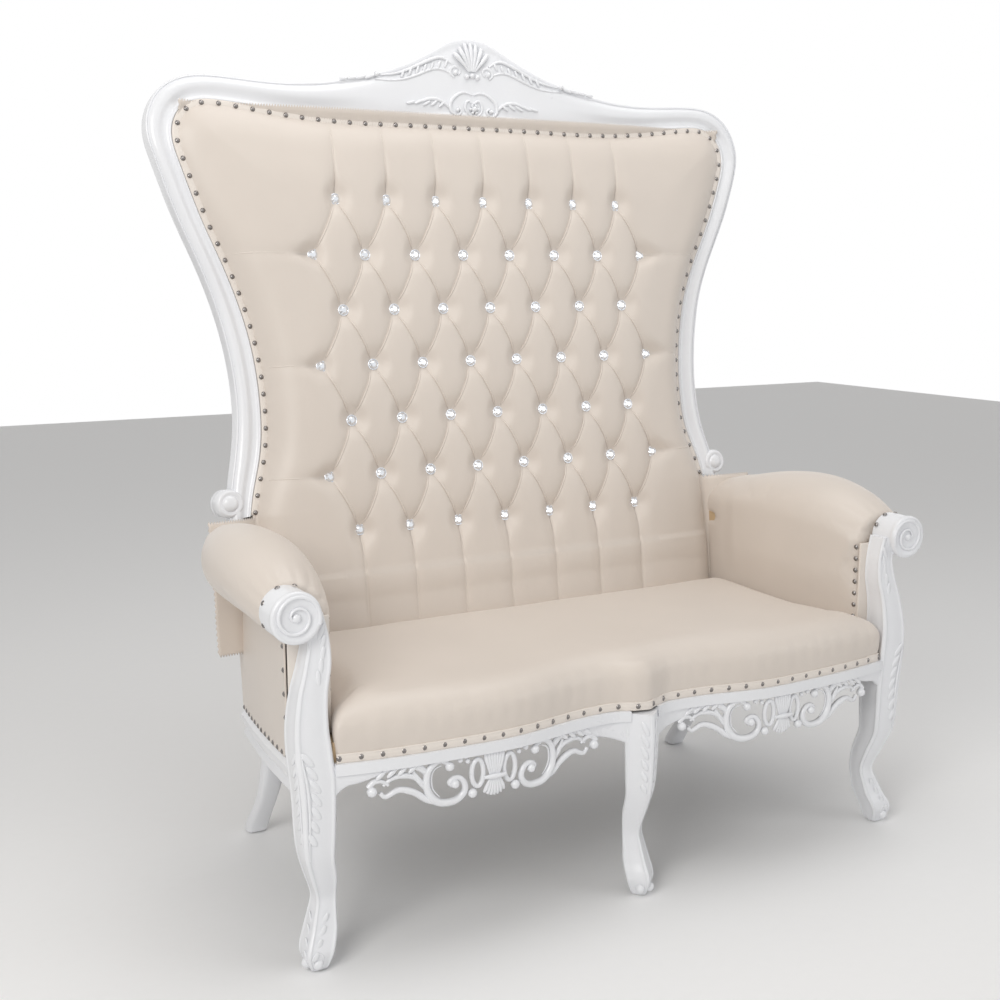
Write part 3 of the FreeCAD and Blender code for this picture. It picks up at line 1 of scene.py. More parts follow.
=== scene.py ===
# %% [markdown]
# High back settee. A waisted, diamond tufted back stands in a carved, white lacquered
# frame over a tight seat and two scroll arms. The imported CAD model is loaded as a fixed
# frame in metres: X runs to the right, Y to the rear and Z up. Every piece below is
# modelled in those same metres, so nothing has to be fitted afterwards.

# %% Load the fixed frame
import json
import math

import bmesh
import bpy
from mathutils import Matrix, Vector, kdtree, noise


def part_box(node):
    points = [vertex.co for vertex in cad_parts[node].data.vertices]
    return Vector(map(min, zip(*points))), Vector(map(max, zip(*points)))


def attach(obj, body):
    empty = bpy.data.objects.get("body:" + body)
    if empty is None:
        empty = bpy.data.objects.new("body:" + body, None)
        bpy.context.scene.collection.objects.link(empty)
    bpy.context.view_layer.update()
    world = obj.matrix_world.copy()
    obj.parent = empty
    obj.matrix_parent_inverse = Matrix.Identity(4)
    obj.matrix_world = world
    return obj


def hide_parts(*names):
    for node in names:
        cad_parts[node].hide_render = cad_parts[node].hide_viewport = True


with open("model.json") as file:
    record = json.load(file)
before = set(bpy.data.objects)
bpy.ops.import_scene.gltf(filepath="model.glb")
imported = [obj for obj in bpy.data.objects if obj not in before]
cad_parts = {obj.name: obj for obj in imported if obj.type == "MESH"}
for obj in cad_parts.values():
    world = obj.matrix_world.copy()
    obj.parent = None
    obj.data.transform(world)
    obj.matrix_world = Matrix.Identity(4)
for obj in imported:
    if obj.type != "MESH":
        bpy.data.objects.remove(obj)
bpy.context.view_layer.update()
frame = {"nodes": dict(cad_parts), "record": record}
nodes = frame["nodes"]
print("loaded", len(nodes), "nodes")

# %% [markdown]
# The camera stands where the photographer stood: left of the middle, at eye height,
# looking slightly down. Its lens and place were solved from the settee's own corners.

# %% Camera
camera_data = bpy.data.cameras.new("camera")
camera_data.sensor_width = 36.0
camera_data.lens = 48.13
camera = bpy.data.objects.new("camera", camera_data)
camera.location = (-1.5362, -2.5424, 1.3039)
camera.rotation_euler = (math.radians(90 - 9.957), 0.0, math.radians(-29.034))
bpy.context.scene.collection.objects.link(camera)
bpy.context.scene.camera = camera
print("camera at", tuple(camera.location))

# %% [markdown]
# Small helpers. A piece is a bmesh turned into an object at the origin, because the
# export puts every object there. `smooth_line` runs one even cubic curve through a few
# measured points, as the part's own source does, so that both follow the same outline.


# %% Helpers for curves
def smooth_line(points, count):
    """Evenly spread points on a natural cubic curve through a few points."""
    total = len(points)
    knots = [0.0]
    for index in range(1, total):
        knots.append(knots[-1] + max(1e-6, (points[index] - points[index - 1]).length))
    bends = [Vector((0, 0, 0)) for _ in points]
    upper = [0.0] * total
    for index in range(1, total - 1):
        before = knots[index] - knots[index - 1]
        after = knots[index + 1] - knots[index]
        pull = (points[index + 1] - points[index]) * (6 / after)
        pull -= (points[index] - points[index - 1]) * (6 / before)
        scale = 2 * (before + after) - before * upper[index - 1]
        upper[index] = after / scale
        bends[index] = (pull - bends[index - 1] * before) / scale
    for index in range(total - 2, 0, -1):
        bends[index] = bends[index] - bends[index + 1] * upper[index]
    line = []
    step = 0
    for index in range(count):
        at = knots[-1] * index / (count - 1)
        while step < total - 2 and at > knots[step + 1]:
            step += 1
        gap = knots[step + 1] - knots[step]
        b = (at - knots[step]) / gap
        a = 1 - b
        line.append(
            points[step] * a + points[step + 1] * b
            + (bends[step] * (a ** 3 - a) + bends[step + 1] * (b ** 3 - b)) * (gap * gap / 6)
        )
    return line


def ease(low, high, at):
    """A smooth step from 0 at low to 1 at high."""
    share = min(1.0, max(0.0, (at - low) / (high - low)))
    return share * share * (3 - 2 * share)


def mix_rows(rows, at):
    """Values between rows of a table whose first column rises, on straight lines."""
    if at <= rows[0][0]:
        return rows[0][1:]
    for before, after in zip(rows, rows[1:]):
        if at <= after[0]:
            share = (at - before[0]) / (after[0] - before[0])
            return tuple(x + (y - x) * share for x, y in zip(before[1:], after[1:]))
    return rows[-1][1:]


print("curve helpers ready")


# %% Helpers for pieces
def grow_skin(rings, closed=True, caps=True):
    """A skin pushed out from the first ring of points through each of the others."""
    shape = bmesh.new()
    ring = [shape.verts.new(point) for point in rings[0]]
    count = len(ring)
    spans = count if closed else count - 1
    edges = [shape.edges.new((ring[i], ring[(i + 1) % count])) for i in range(spans)]
    if caps and closed:
        shape.faces.new(ring)
    for points in rings[1:]:
        made = bmesh.ops.extrude_edge_only(shape, edges=edges)["geom"]
        fresh = {item for item in made if isinstance(item, bmesh.types.BMVert)}
        following = []
        for vert in ring:
            for edge in vert.link_edges:
                other = edge.other_vert(vert)
                if other in fresh:
                    following.append(other)
                    break
        for vert, point in zip(following, points):
            vert.co = point
        ring = following
        edges = [shape.edges.get((ring[i], ring[(i + 1) % count])) for i in range(spans)]
    if caps and closed:
        shape.faces.new(list(reversed(ring)))
    bmesh.ops.recalc_face_normals(shape, faces=shape.faces)
    return shape


def ball(radius, place, squeeze=(1, 1, 1), turn=None, rounds=14):
    """A small ball or bead, squeezed and turned in place."""
    shape = bmesh.new()
    bmesh.ops.create_uvsphere(shape, u_segments=rounds, v_segments=rounds // 2 + 2, radius=radius)
    spin = Matrix.Identity(4) if turn is None else turn.to_4x4()
    spot = Matrix.Translation(place) @ spin @ Matrix.Diagonal((*squeeze, 1))
    bmesh.ops.transform(shape, matrix=spot, verts=shape.verts)
    return shape


def joined(shapes):
    """Several bmeshes as one."""
    whole = bmesh.new()
    for shape in shapes:
        spare = bpy.data.meshes.new("spare")
        shape.to_mesh(spare)
        whole.from_mesh(spare)
        bpy.data.meshes.remove(spare)
        shape.free()
    return whole


def mirrored_copy(shape):
    """The other side's copy of a bmesh, with its faces turned back outwards."""
    other = shape.copy()
    bmesh.ops.scale(other, vec=(-1, 1, 1), verts=other.verts)
    bmesh.ops.reverse_faces(other, faces=other.faces)
    return other


def add_piece(name, shape, finish, smooth=True, stands_for=()):
    """Makes an object of a bmesh, gives it a finish and lets it ride on the settee."""
    mesh = bpy.data.meshes.new(name)
    shape.to_mesh(mesh)
    shape.free()
    piece = bpy.data.objects.new(name, mesh)
    bpy.context.scene.collection.objects.link(piece)
    for polygon in mesh.polygons:
        polygon.use_smooth = smooth
    mesh.materials.append(finish)
    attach(piece, "root")
    if stands_for:
        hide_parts(*stands_for)
    print(name, len(mesh.polygons), "faces")
    return piece


def add_pair(name, shape, finish, smooth=True, stands_for=()):
    """The right piece and its mirrored left one."""
    left_shape = mirrored_copy(shape)
    right = add_piece(name + "_right", shape, finish, smooth,
                      [node + "_right" for node in stands_for])
    left = add_piece(name + "_left", left_shape, finish, smooth,
                     [node + "_left" for node in stands_for])
    return right, left


def sharp_below(piece, degrees):
    """Keeps edges sharp where faces meet at more than an angle."""
    for polygon in piece.data.polygons:
        polygon.use_smooth = True
    piece.data.set_sharp_from_angle(angle=math.radians(degrees))


print("piece helpers ready")

# %% [markdown]
# Finishes. Real lacquer, leather and metal are never one flat colour, so the shared
# node groups below add what the eye expects: a fine grain pressed into the leather, and
# slow drifts in tone and gloss. Each group is built once and placed with its own values.


# %% Node helpers
def new_group(name, inputs, outputs):
    """An empty shader group with named number, colour or vector sockets."""
    group = bpy.data.node_groups.new(name, "ShaderNodeTree")
    for label, kind, value in inputs:
        socket = group.interface.new_socket(name=label, in_out="INPUT", socket_type=kind)
        if value is not None:
            socket.default_value = value
    for label, kind in outputs:
        group.interface.new_socket(name=label, in_out="OUTPUT", socket_type=kind)
    ends = group.nodes.new("NodeGroupInput"), group.nodes.new("NodeGroupOutput")
    return group, ends[0], ends[1]


def math_node(tree, operation, first, second):
    """A Math node fed by sockets or numbers."""
    node = tree.nodes.new("ShaderNodeMath")
    node.operation = operation
    for socket, value in zip(node.inputs, (first, second)):
        if isinstance(value, (int, float)):
            socket.default_value = value
        else:
            tree.links.new(value, socket)
    return node.outputs[0]


def noise_node(tree, vector, scale, detail=2.0, rough=0.5):
    node = tree.nodes.new("ShaderNodeTexNoise")
    node.inputs["Detail"].default_value = detail
    node.inputs["Roughness"].default_value = rough
    if isinstance(scale, (int, float)):
        node.inputs["Scale"].default_value = scale
    else:
        tree.links.new(scale, node.inputs["Scale"])
    tree.links.new(vector, node.inputs["Vector"])
    return node.outputs["Fac"]


print("node helpers ready")

# %% [markdown]
# Leather grain: pebbles of a Voronoi pattern, broken up by noise, are what an embossing
# roller leaves on faux leather. The drift group is a very slow noise that lifts and
# lowers the tone and the gloss, as handling, dust and uneven coating do.

# %% Shared groups
leather_grain, grain_in, grain_out = new_group(
    "leather_grain",
    [("Vector", "NodeSocketVector", None), ("Pebble Scale", "NodeSocketFloat", 900.0),
     ("Wrinkle Scale", "NodeSocketFloat", 60.0), ("Wrinkle Share", "NodeSocketFloat", 0.35)],
    [("Height", "NodeSocketFloat"), ("Pore Mask", "NodeSocketFloat")],
)
pebbles = leather_grain.nodes.new("ShaderNodeTexVoronoi")
pebbles.feature = "SMOOTH_F1"
leather_grain.links.new(grain_in.outputs["Vector"], pebbles.inputs["Vector"])
leather_grain.links.new(grain_in.outputs["Pebble Scale"], pebbles.inputs["Scale"])
wrinkles = noise_node(leather_grain, grain_in.outputs["Vector"],
                      grain_in.outputs["Wrinkle Scale"], 4.0, 0.6)
wrinkle_part = math_node(leather_grain, "MULTIPLY", wrinkles,
                         grain_in.outputs["Wrinkle Share"])
grain_height = math_node(leather_grain, "ADD", pebbles.outputs["Distance"], wrinkle_part)
leather_grain.links.new(grain_height, grain_out.inputs["Height"])
leather_grain.links.new(pebbles.outputs["Distance"], grain_out.inputs["Pore Mask"])

slow_drift, drift_in, drift_out = new_group(
    "slow_drift",
    [("Vector", "NodeSocketVector", None), ("Scale", "NodeSocketFloat", 3.0),
     ("Light", "NodeSocketColor", (0.9, 0.9, 0.9, 1)),
     ("Dark", "NodeSocketColor", (0.8, 0.8, 0.8, 1)),
     ("Gloss Low", "NodeSocketFloat", 0.3), ("Gloss High", "NodeSocketFloat", 0.4)],
    [("Color", "NodeSocketColor"), ("Roughness", "NodeSocketFloat")],
)
drift = noise_node(slow_drift, drift_in.outputs["Vector"], drift_in.outputs["Scale"], 5.0, 0.6)
tone = slow_drift.nodes.new("ShaderNodeMix")
tone.data_type = "RGBA"
slow_drift.links.new(drift, tone.inputs["Factor"])
slow_drift.links.new(drift_in.outputs["Dark"], tone.inputs[6])
slow_drift.links.new(drift_in.outputs["Light"], tone.inputs[7])
slow_drift.links.new(tone.outputs[2], drift_out.inputs["Color"])
gloss = slow_drift.nodes.new("ShaderNodeMapRange")
slow_drift.links.new(drift, gloss.inputs["Value"])
slow_drift.links.new(drift_in.outputs["Gloss Low"], gloss.inputs["To Min"])
slow_drift.links.new(drift_in.outputs["Gloss High"], gloss.inputs["To Max"])
slow_drift.links.new(gloss.outputs["Result"], drift_out.inputs["Roughness"])
print("shared groups ready")


# %% Finish maker
def finish_base(name, light, dark, gloss_low, gloss_high, drift_scale=3.0):
    """A Principled material whose colour and gloss drift slowly over the piece."""
    material = bpy.data.materials.new(name)
    material.use_nodes = True
    tree = material.node_tree
    shader = tree.nodes["Principled BSDF"]
    place = tree.nodes.new("ShaderNodeTexCoord").outputs["Object"]
    drifting = tree.nodes.new("ShaderNodeGroup")
    drifting.node_tree = slow_drift
    drifting.inputs["Scale"].default_value = drift_scale
    drifting.inputs["Light"].default_value = (*light, 1)
    drifting.inputs["Dark"].default_value = (*dark, 1)
    drifting.inputs["Gloss Low"].default_value = gloss_low
    drifting.inputs["Gloss High"].default_value = gloss_high
    tree.links.new(place, drifting.inputs["Vector"])
    tree.links.new(drifting.outputs["Color"], shader.inputs["Base Color"])
    tree.links.new(drifting.outputs["Roughness"], shader.inputs["Roughness"])
    return material, tree, shader, place, drifting


def add_bump(tree, shader, height, strength, distance):
    bump = tree.nodes.new("ShaderNodeBump")
    bump.inputs["Strength"].default_value = strength
    bump.inputs["Distance"].default_value = distance
    tree.links.new(height, bump.inputs["Height"])
    tree.links.new(bump.outputs["Normal"], shader.inputs["Normal"])


def leather_finish(name, light, dark, pebble_scale, strength):
    material, tree, shader, place, drifting = finish_base(name, light, dark, 0.36, 0.48, 4.0)
    grain = tree.nodes.new("ShaderNodeGroup")
    grain.node_tree = leather_grain
    grain.inputs["Pebble Scale"].default_value = pebble_scale
    tree.links.new(place, grain.inputs["Vector"])
    add_bump(tree, shader, grain.outputs["Height"], strength, 0.0006)
    shader.inputs["Specular IOR Level"].default_value = 0.45
    shader.inputs["Sheen Weight"].default_value = 0.12
    shader.inputs["Sheen Roughness"].default_value = 0.5
    return material


print("finish maker ready")

# %% [markdown]
# The finishes themselves: pearl white lacquer with a clear coat, champagne faux leather,
# the same leather a little lighter for welts, polished dark nails, plated rims, cut
# crystal, and the plain wood and cloth of the hidden inside.

# %% Finishes
lacquer, tree, shader, place, drifting = finish_base(
    "white_lacquer", (0.85, 0.86, 0.88), (0.79, 0.80, 0.83), 0.24, 0.34, 6.0)
shader.inputs["Coat Weight"].default_value = 0.35
shader.inputs["Coat Roughness"].default_value = 0.12
brush_marks = noise_node(tree, place, 38.0, 6.0, 0.62)
add_bump(tree, shader, brush_marks, 0.12, 0.0012)

leather = leather_finish("cream_leather", (0.735, 0.665, 0.60), (0.66, 0.595, 0.535), 850.0, 0.18)
welt_leather = leather_finish("welt_leather", (0.82, 0.76, 0.70), (0.76, 0.70, 0.64), 1100.0, 0.12)

dark_nail, tree, shader, place, drifting = finish_base(
    "dark_nail", (0.30, 0.28, 0.27), (0.16, 0.15, 0.145), 0.16, 0.30, 90.0)
shader.inputs["Metallic"].default_value = 1.0

plated_rim, tree, shader, place, drifting = finish_base(
    "plated_rim", (0.82, 0.83, 0.85), (0.70, 0.71, 0.73), 0.08, 0.16, 60.0)
shader.inputs["Metallic"].default_value = 1.0

crystal, tree, shader, place, drifting = finish_base(
    "cut_crystal", (0.93, 0.95, 0.98), (0.62, 0.66, 0.72), 0.02, 0.06, 320.0)
shader.inputs["Metallic"].default_value = 0.75
shader.inputs["Coat Weight"].default_value = 1.0
shader.inputs["Coat Roughness"].default_value = 0.02

plain_wood, tree, shader, place, drifting = finish_base(
    "plain_wood", (0.66, 0.50, 0.32), (0.50, 0.36, 0.21), 0.55, 0.70, 8.0)
grain_map = tree.nodes.new("ShaderNodeMapping")
grain_map.inputs["Scale"].default_value = (4.0, 60.0, 60.0)
tree.links.new(place, grain_map.inputs["Vector"])
wood_grain = noise_node(tree, grain_map.outputs["Vector"], 3.0, 6.0, 0.6)
add_bump(tree, shader, wood_grain, 0.35, 0.001)


def cloth_finish(name, light, dark, threads, gloss_low=0.85, gloss_high=0.95):
    """A plain weave: two sets of waves, one over the other."""
    material, tree, shader, place, drifting = finish_base(
        name, light, dark, gloss_low, gloss_high, 12.0)
    heights = []
    for axis in ("X", "Y"):
        wave = tree.nodes.new("ShaderNodeTexWave")
        wave.bands_direction = axis
        wave.inputs["Scale"].default_value = threads
        tree.links.new(place, wave.inputs["Vector"])
        heights.append(wave.outputs["Fac"])
    weave = math_node(tree, "MAXIMUM", heights[0], heights[1])
    add_bump(tree, shader, weave, 0.5, 0.0008)
    return material


black_cloth = cloth_finish("black_cloth", (0.05, 0.05, 0.05), (0.03, 0.03, 0.03), 300.0)
jute = cloth_finish("jute_webbing", (0.52, 0.40, 0.25), (0.40, 0.30, 0.18), 120.0)
glide_plastic, tree, shader, place, drifting = finish_base(
    "glide_plastic", (0.72, 0.72, 0.71), (0.66, 0.66, 0.65), 0.45, 0.6, 30.0)
mould_marks = noise_node(tree, place, 400.0)
add_bump(tree, shader, mould_marks, 0.1, 0.0004)
print(len(bpy.data.materials), "finishes")

# %% [markdown]
# The back has its own frame: x across, `up` along the leaning back and `deep` behind the
# plane of its buttons. `on_back` turns those three into the settee's metres. The back is
# also bowed: at the waist the wood lies 33 mm behind its crown.

# %% The back's own frame
RAKE = math.radians(8.31)
BACK_Y, BACK_Z = 0.1748, 0.5
FRAME_SET, FRAME_THICK = 0.008, 0.045
FOOT, WAIST, WIDEST, SHOULDER, CROWN = 0.262, 0.512, 1.099, 1.217, 1.345
HALF_WAIST, HALF_WIDEST, HALF_CREST = 0.624, 0.782, 0.470
PAD_TOP, EDGE_TO_NAILS = 1.134, 0.063


def on_back(x, up, deep=0.0):
    return Vector((
        x,
        BACK_Y + up * math.sin(RAKE) + deep * math.cos(RAKE),
        BACK_Z + up * math.cos(RAKE) - deep * math.sin(RAKE),
    ))


def bow(up):
    """How far the frame bows to the rear at a height along the back."""
    rise = ease(FOOT - 0.04, WAIST - 0.08, up)
    fall = ease(WAIST + 0.2, WIDEST - 0.02, up)
    return 0.016 + 0.017 * rise - 0.033 * fall


SIDE_SHAPE = [(0.174, 0.04), (0.368, 0.185), (0.547, 0.42), (0.687, 0.645), (0.901, 0.925)]
CROWN_SHAPE = [(0.766, 0.06), (0.574, 0.215), (0.434, 0.36), (0.33, 0.515), (0.19, 0.777)]


def side_points(low_half, low, high_half, high):
    points = [(low_half, low)]
    for rise, out in SIDE_SHAPE:
        points.append((low_half + out * (high_half - low_half), low + rise * (high - low)))
    points.append((high_half, high))
    return points


outer_marks = [(HALF_WAIST + 0.038, FOOT), (HALF_WAIST + 0.028, WAIST - 0.179),
               (HALF_WAIST + 0.014, WAIST - 0.118)]
outer_marks += side_points(HALF_WAIST, WAIST, HALF_WIDEST, WIDEST)
outer_marks += [
    (HALF_WIDEST - 0.007, WIDEST + 0.35 * (SHOULDER - WIDEST)),
    (HALF_WIDEST - 0.037, WIDEST + 0.75 * (SHOULDER - WIDEST)),
    (HALF_WIDEST - 0.092, SHOULDER - 0.001), (HALF_WIDEST - 0.142, SHOULDER + 0.004),
    (HALF_WIDEST - 0.232, SHOULDER), (HALF_CREST, SHOULDER - 0.002),
]
outer_marks += [(out * HALF_CREST, SHOULDER + rise * (CROWN - SHOULDER))
                for out, rise in CROWN_SHAPE]
outer_marks += [(0.09 * HALF_CREST, CROWN - 0.006), (0.0, CROWN)]
half_nails = HALF_WIDEST - EDGE_TO_NAILS
nail_marks = [(0.607, 0.270), (HALF_WAIST - EDGE_TO_NAILS + 0.034, WAIST - 0.194),
              (HALF_WAIST - EDGE_TO_NAILS + 0.011, WAIST - 0.119)]
nail_marks += side_points(HALF_WAIST - EDGE_TO_NAILS, WAIST, half_nails, WIDEST - 0.008)
nail_marks += [
    (half_nails - 0.008, PAD_TOP - 0.011), (half_nails - 0.029, PAD_TOP + 0.013),
    (half_nails - 0.054, PAD_TOP + 0.024), (half_nails - 0.098, PAD_TOP + 0.025),
    (half_nails - 0.218, PAD_TOP + 0.011), (HALF_CREST - 0.120, PAD_TOP),
    (HALF_CREST / 3, PAD_TOP), (0.0, PAD_TOP),
]


def half_line(marks, count):
    """One side's outline, smooth across the middle, as (x, up) vectors from the foot."""
    points = [Vector((x, up, 0)) for x, up in marks]
    points += [Vector((-x, up, 0)) for x, up in reversed(marks[:-1])]
    return smooth_line(points, 2 * count - 1)[:count]


outer_line = half_line(outer_marks, 301)
nail_line = half_line(nail_marks, 301)
print("outline from", tuple(outer_line[0]), "to", tuple(outer_line[-1]))

# %% [markdown]
# The carved frame is a moulding: one section, carried along the outline. From the
# outside in, the real one has a thin lip, a round roll, a shallow hollow and a bead
# beside the leather. A swept skin shows all four, which a flat board with rounded edges
# can't. Over the crown the section widens and flattens into a plain field for carving.

# %% The frame's section
# share of the way in, how far it stands out (millimetres) at a narrow and a wide place
FRONT_SECTION = [
    (0.000, -7.0, -7.0), (0.000, -2.5, -2.5), (0.020, -1.2, -1.2), (0.055, -1.2, -1.2),
    (0.075, -3.0, -3.0), (0.110, -1.0, -2.4), (0.170, 2.6, -1.0), (0.240, 4.6, 0.2),
    (0.320, 5.4, 0.6), (0.400, 4.6, 0.6), (0.480, 2.4, 0.4), (0.560, -0.6, 0.1),
    (0.640, -2.8, -0.2), (0.720, -3.4, -0.6), (0.790, -2.4, -1.2), (0.830, -0.4, -1.4),
    (0.850, 1.6, 0.8), (0.880, 2.4, 2.0), (0.910, 1.8, 1.6), (0.930, -0.6, -0.6),
    (0.935, -2.2, -2.2), (1.000, -2.4, -2.4),
]


def section_at(outer, inner, width_share):
    """The closed ring of points for one station of the frame."""
    ring = []
    for share, narrow, wide in FRONT_SECTION:
        x, up, _ = outer + (inner - outer) * share
        stand = (narrow + (wide - narrow) * width_share) / 1000
        ring.append(on_back(x, up, bow(up) + FRAME_SET - stand))
    for share, deep in ((1.22, 0.0004), (1.22, FRAME_THICK), (0.10, FRAME_THICK),
                        (0.03, FRAME_THICK - 0.003), (0.0, FRAME_THICK - 0.009),
                        (-0.004, FRAME_THICK / 2)):
        reach = (inner - outer)
        if share > 1:
            spot = inner + reach.normalized() * 0.021
        else:
            spot = outer + reach * share
        ring.append(on_back(spot.x, spot.y, bow(spot.y) + FRAME_SET + deep))
    return ring


tree_of_nails = kdtree.KDTree(len(nail_line))
for index, point in enumerate(nail_line):
    tree_of_nails.insert(point, index)
tree_of_nails.balance()
inner_match = []
last = 0
for index, point in enumerate(outer_line):
    if index <= 150:
        found = tree_of_nails.find(point)[1]
        last = max(last, found)
    else:
        share = (index - 150) / 150
        last = round(anchor + (300 - anchor) * share)
    if index == 150:
        anchor = last
    inner_match.append(last)
# even out the pairing, so that no two stations pile up on one nail
smoothed = [float(value) for value in inner_match]
for _ in range(60):
    middle = [(smoothed[i - 1] + smoothed[i] * 2 + smoothed[i + 1]) / 4 for i in range(1, 300)]
    smoothed = [smoothed[0]] + middle + [smoothed[-1]]


def inner_point(index):
    low = min(299, int(smoothed[index]))
    share = smoothed[index] - low
    spot = nail_line[low] * (1 - share) + nail_line[low + 1] * share
    outer = outer_line[index]
    # the section ends just under the leather strip's outer edge
    return spot + (outer - spot).normalized() * 0.006


def frame_rings(first, final):
    rings = []
    for index in range(first, final + 1):
        outer, inner = outer_line[index], inner_point(index)
        wide = ease(0.075, 0.14, (inner - outer).length)
        rings.append(section_at(outer, inner, wide))
    return rings


joint_index = min(range(301), key=lambda i: abs(outer_line[i].y - 1.028)
                  + (0 if outer_line[i].x > 0.7 else 9))
stile_shape = grow_skin(frame_rings(0, joint_index))
half_crest = frame_rings(joint_index, 300)
other_half = [[Vector((-p.x, p.y, p.z)) for p in ring] for ring in reversed(half_crest[:-1])]
crest_shape = grow_skin(half_crest + other_half)
print("frame stations", len(half_crest) * 2 - 1, "over the crest,", joint_index, "a stile")

# %% [markdown]
# Each stile ends in a volute: a short drum with a raised, dished face and a lip at its
# rear. It is a spun profile, which is how a turner would make it too.


# %% Volute of a stile
def spun(profile, centre, axis, start, steps=40):
    """A profile of (radius, along) pairs spun once round an axis."""
    shape = bmesh.new()
    axis = axis.normalized()
    side = start.normalized()
    verts = [shape.verts.new(centre + side * radius + axis * along) for radius, along in profile]
    edges = [shape.edges.new(pair) for pair in zip(verts, verts[1:])]
    bmesh.ops.spin(shape, geom=verts + edges, cent=centre, axis=axis, angle=math.tau,
                   steps=steps, use_merge=True)
    bmesh.ops.remove_doubles(shape, verts=shape.verts, dist=1e-6)
    bmesh.ops.recalc_face_normals(shape, faces=shape.faces)
    return shape


back_out = on_back(0, 0, -1) - on_back(0, 0, 0)
volute_up, volute_x = 0.300, 0.660
volute_deep = bow(volute_up) + FRAME_SET
drum = spun(
    [(0.0, 0.0115), (0.006, 0.0118), (0.013, 0.0105), (0.0165, 0.0075), (0.018, 0.0055),
     (0.0205, 0.0058), (0.024, 0.0075), (0.0275, 0.0065), (0.030, 0.003), (0.0312, -0.002),
     (0.0308, -0.030), (0.0296, -0.034), (0.0312, -0.037), (0.0312, -0.043), (0.030, -0.045),
     (0.0, -0.045)],
    on_back(volute_x, volute_up, volute_deep), back_out, Vector((1, 0, 0)),
)
stile_with_volute = joined([stile_shape, drum])
stile_pair = add_pair("back_stile", stile_with_volute, lacquer,
                      stands_for=("back_stile",))
crest = add_piece("crest_rail_moulding", crest_shape, lacquer,
                  stands_for=["crest_rail"])
for piece in (*stile_pair, crest):
    sharp_below(piece, 50)

# %% [markdown]
# The tufted pad. Leather is drawn down to 52 buttons, and its folds run from button to
# button in diamonds, then straight to the border. The grid below is sheared so that its
# lines lie exactly on the diamonds' sides: every fold then has a row of vertices of its
# own and stays crisp, which an upright grid would need ten times the faces for.

# %% Buttons and folds
PITCH, ROW, FIRST_ROW, ROWS, PLUMP = 0.125, 0.1236, 0.959, 7, 0.027
LAST_ROW = FIRST_ROW - (ROWS - 1) * ROW


def row_places(index):
    count = 7 + index % 2
    return [(place - (count - 1) / 2) * PITCH for place in range(count)]


button_spots = [(x, FIRST_ROW - index * ROW) for index in range(ROWS) for x in row_places(index)]
edge_tree = kdtree.KDTree(2 * len(nail_line))
for index, point in enumerate(nail_line):
    edge_tree.insert(point, index)
    edge_tree.insert(Vector((-point.x, point.y, 0)), index)
edge_tree.balance()


def nail_half(up):
    """Half width between the nail lines at a height."""
    if up <= nail_line[0].y:
        return nail_line[0].x + (0.616 - nail_line[0].x) * ease(0.27, 0.05, up)
    for low, high in zip(nail_line, nail_line[1:]):
        if low.y <= up <= high.y:
            share = (up - low.y) / max(1e-9, high.y - low.y)
            return low.x + (high.x - low.x) * share
    return nail_line[0].x


folds = []
for index in range(ROWS - 1):
    up = FIRST_ROW - index * ROW
    for x in row_places(index):
        for other in row_places(index + 1):
            if abs(other - x) < PITCH * 0.6:
                folds.append(("diamond", Vector((x, up, 0)), Vector((other, up - ROW, 0))))
for x in row_places(0):
    folds.append(("pleat", Vector((x, FIRST_ROW, 0)), Vector((x, PAD_TOP - 0.006, 0))))
    folds.append(("pleat", Vector((x, LAST_ROW, 0)), Vector((x, -0.03, 0))))
for index in (1, 3, 5):
    up = FIRST_ROW - index * ROW
    reach = nail_half(up) - 0.006
    for side in (-1, 1):
        start = Vector((side * row_places(index)[-1], up, 0))
        folds.append(("side", start, Vector((side * reach, up + 0.004, 0))))


FOLD_WIDTHS = {"diamond": 0.047, "pleat": 0.040, "side": 0.030}


def fold_height(kind, share, length):
    """How high the floor of a fold lies, as a share of the pillows."""
    if kind == "diamond":
        return 0.66 * max(0.0, math.sin(math.pi * share)) ** 0.55
    rise = ease(0.0, 0.075, share * length)
    if kind == "side":
        return 0.86 * rise
    return 0.62 * rise + 0.12 * ease(0.5, 1.0, share)


cells = {}
for number, (kind, start, end) in enumerate(folds):
    steps = max(2, int((end - start).length / 0.03))
    for step in range(steps + 1):
        spot = start.lerp(end, step / steps)
        home = (int(spot.x // 0.06), int(spot.y // 0.06))
        for across in (-1, 0, 1):
            for along in (-1, 0, 1):
                cells.setdefault((home[0] + across, home[1] + along), set()).add(number)


def plumpness(x, up):
    """The leather's height over the buttons' plane, as a share of the pillows'."""
    spot = Vector((x, up, 0))
    value = 1.0
    for number in sorted(cells.get((int(x // 0.06), int(up // 0.06)), ())):
        kind, start, end = folds[number]
        along = end - start
        length = along.length
        share = min(1.0, max(0.0, (spot - start).dot(along) / (length * length)))
        gap = (spot - start - along * share).length
        width = FOLD_WIDTHS[kind]
        if gap < width:
            floor = fold_height(kind, share, length)
            swell = math.sin(math.pi / 2 * gap / width) ** 0.52
            value *= floor + (1 - floor) * swell
    return value


def roll_in(x, up):
    """How near the border is: 0 on the nail line, 1 well inside."""
    point, index, gap = edge_tree.find(Vector((x, up, 0)))
    inside = abs(x) < nail_half(min(up, PAD_TOP - 0.02)) and up < PAD_TOP + 0.03
    if up < 0.27:
        gap = nail_half(up) - abs(x)
        inside = gap > 0
    return gap if inside else -gap


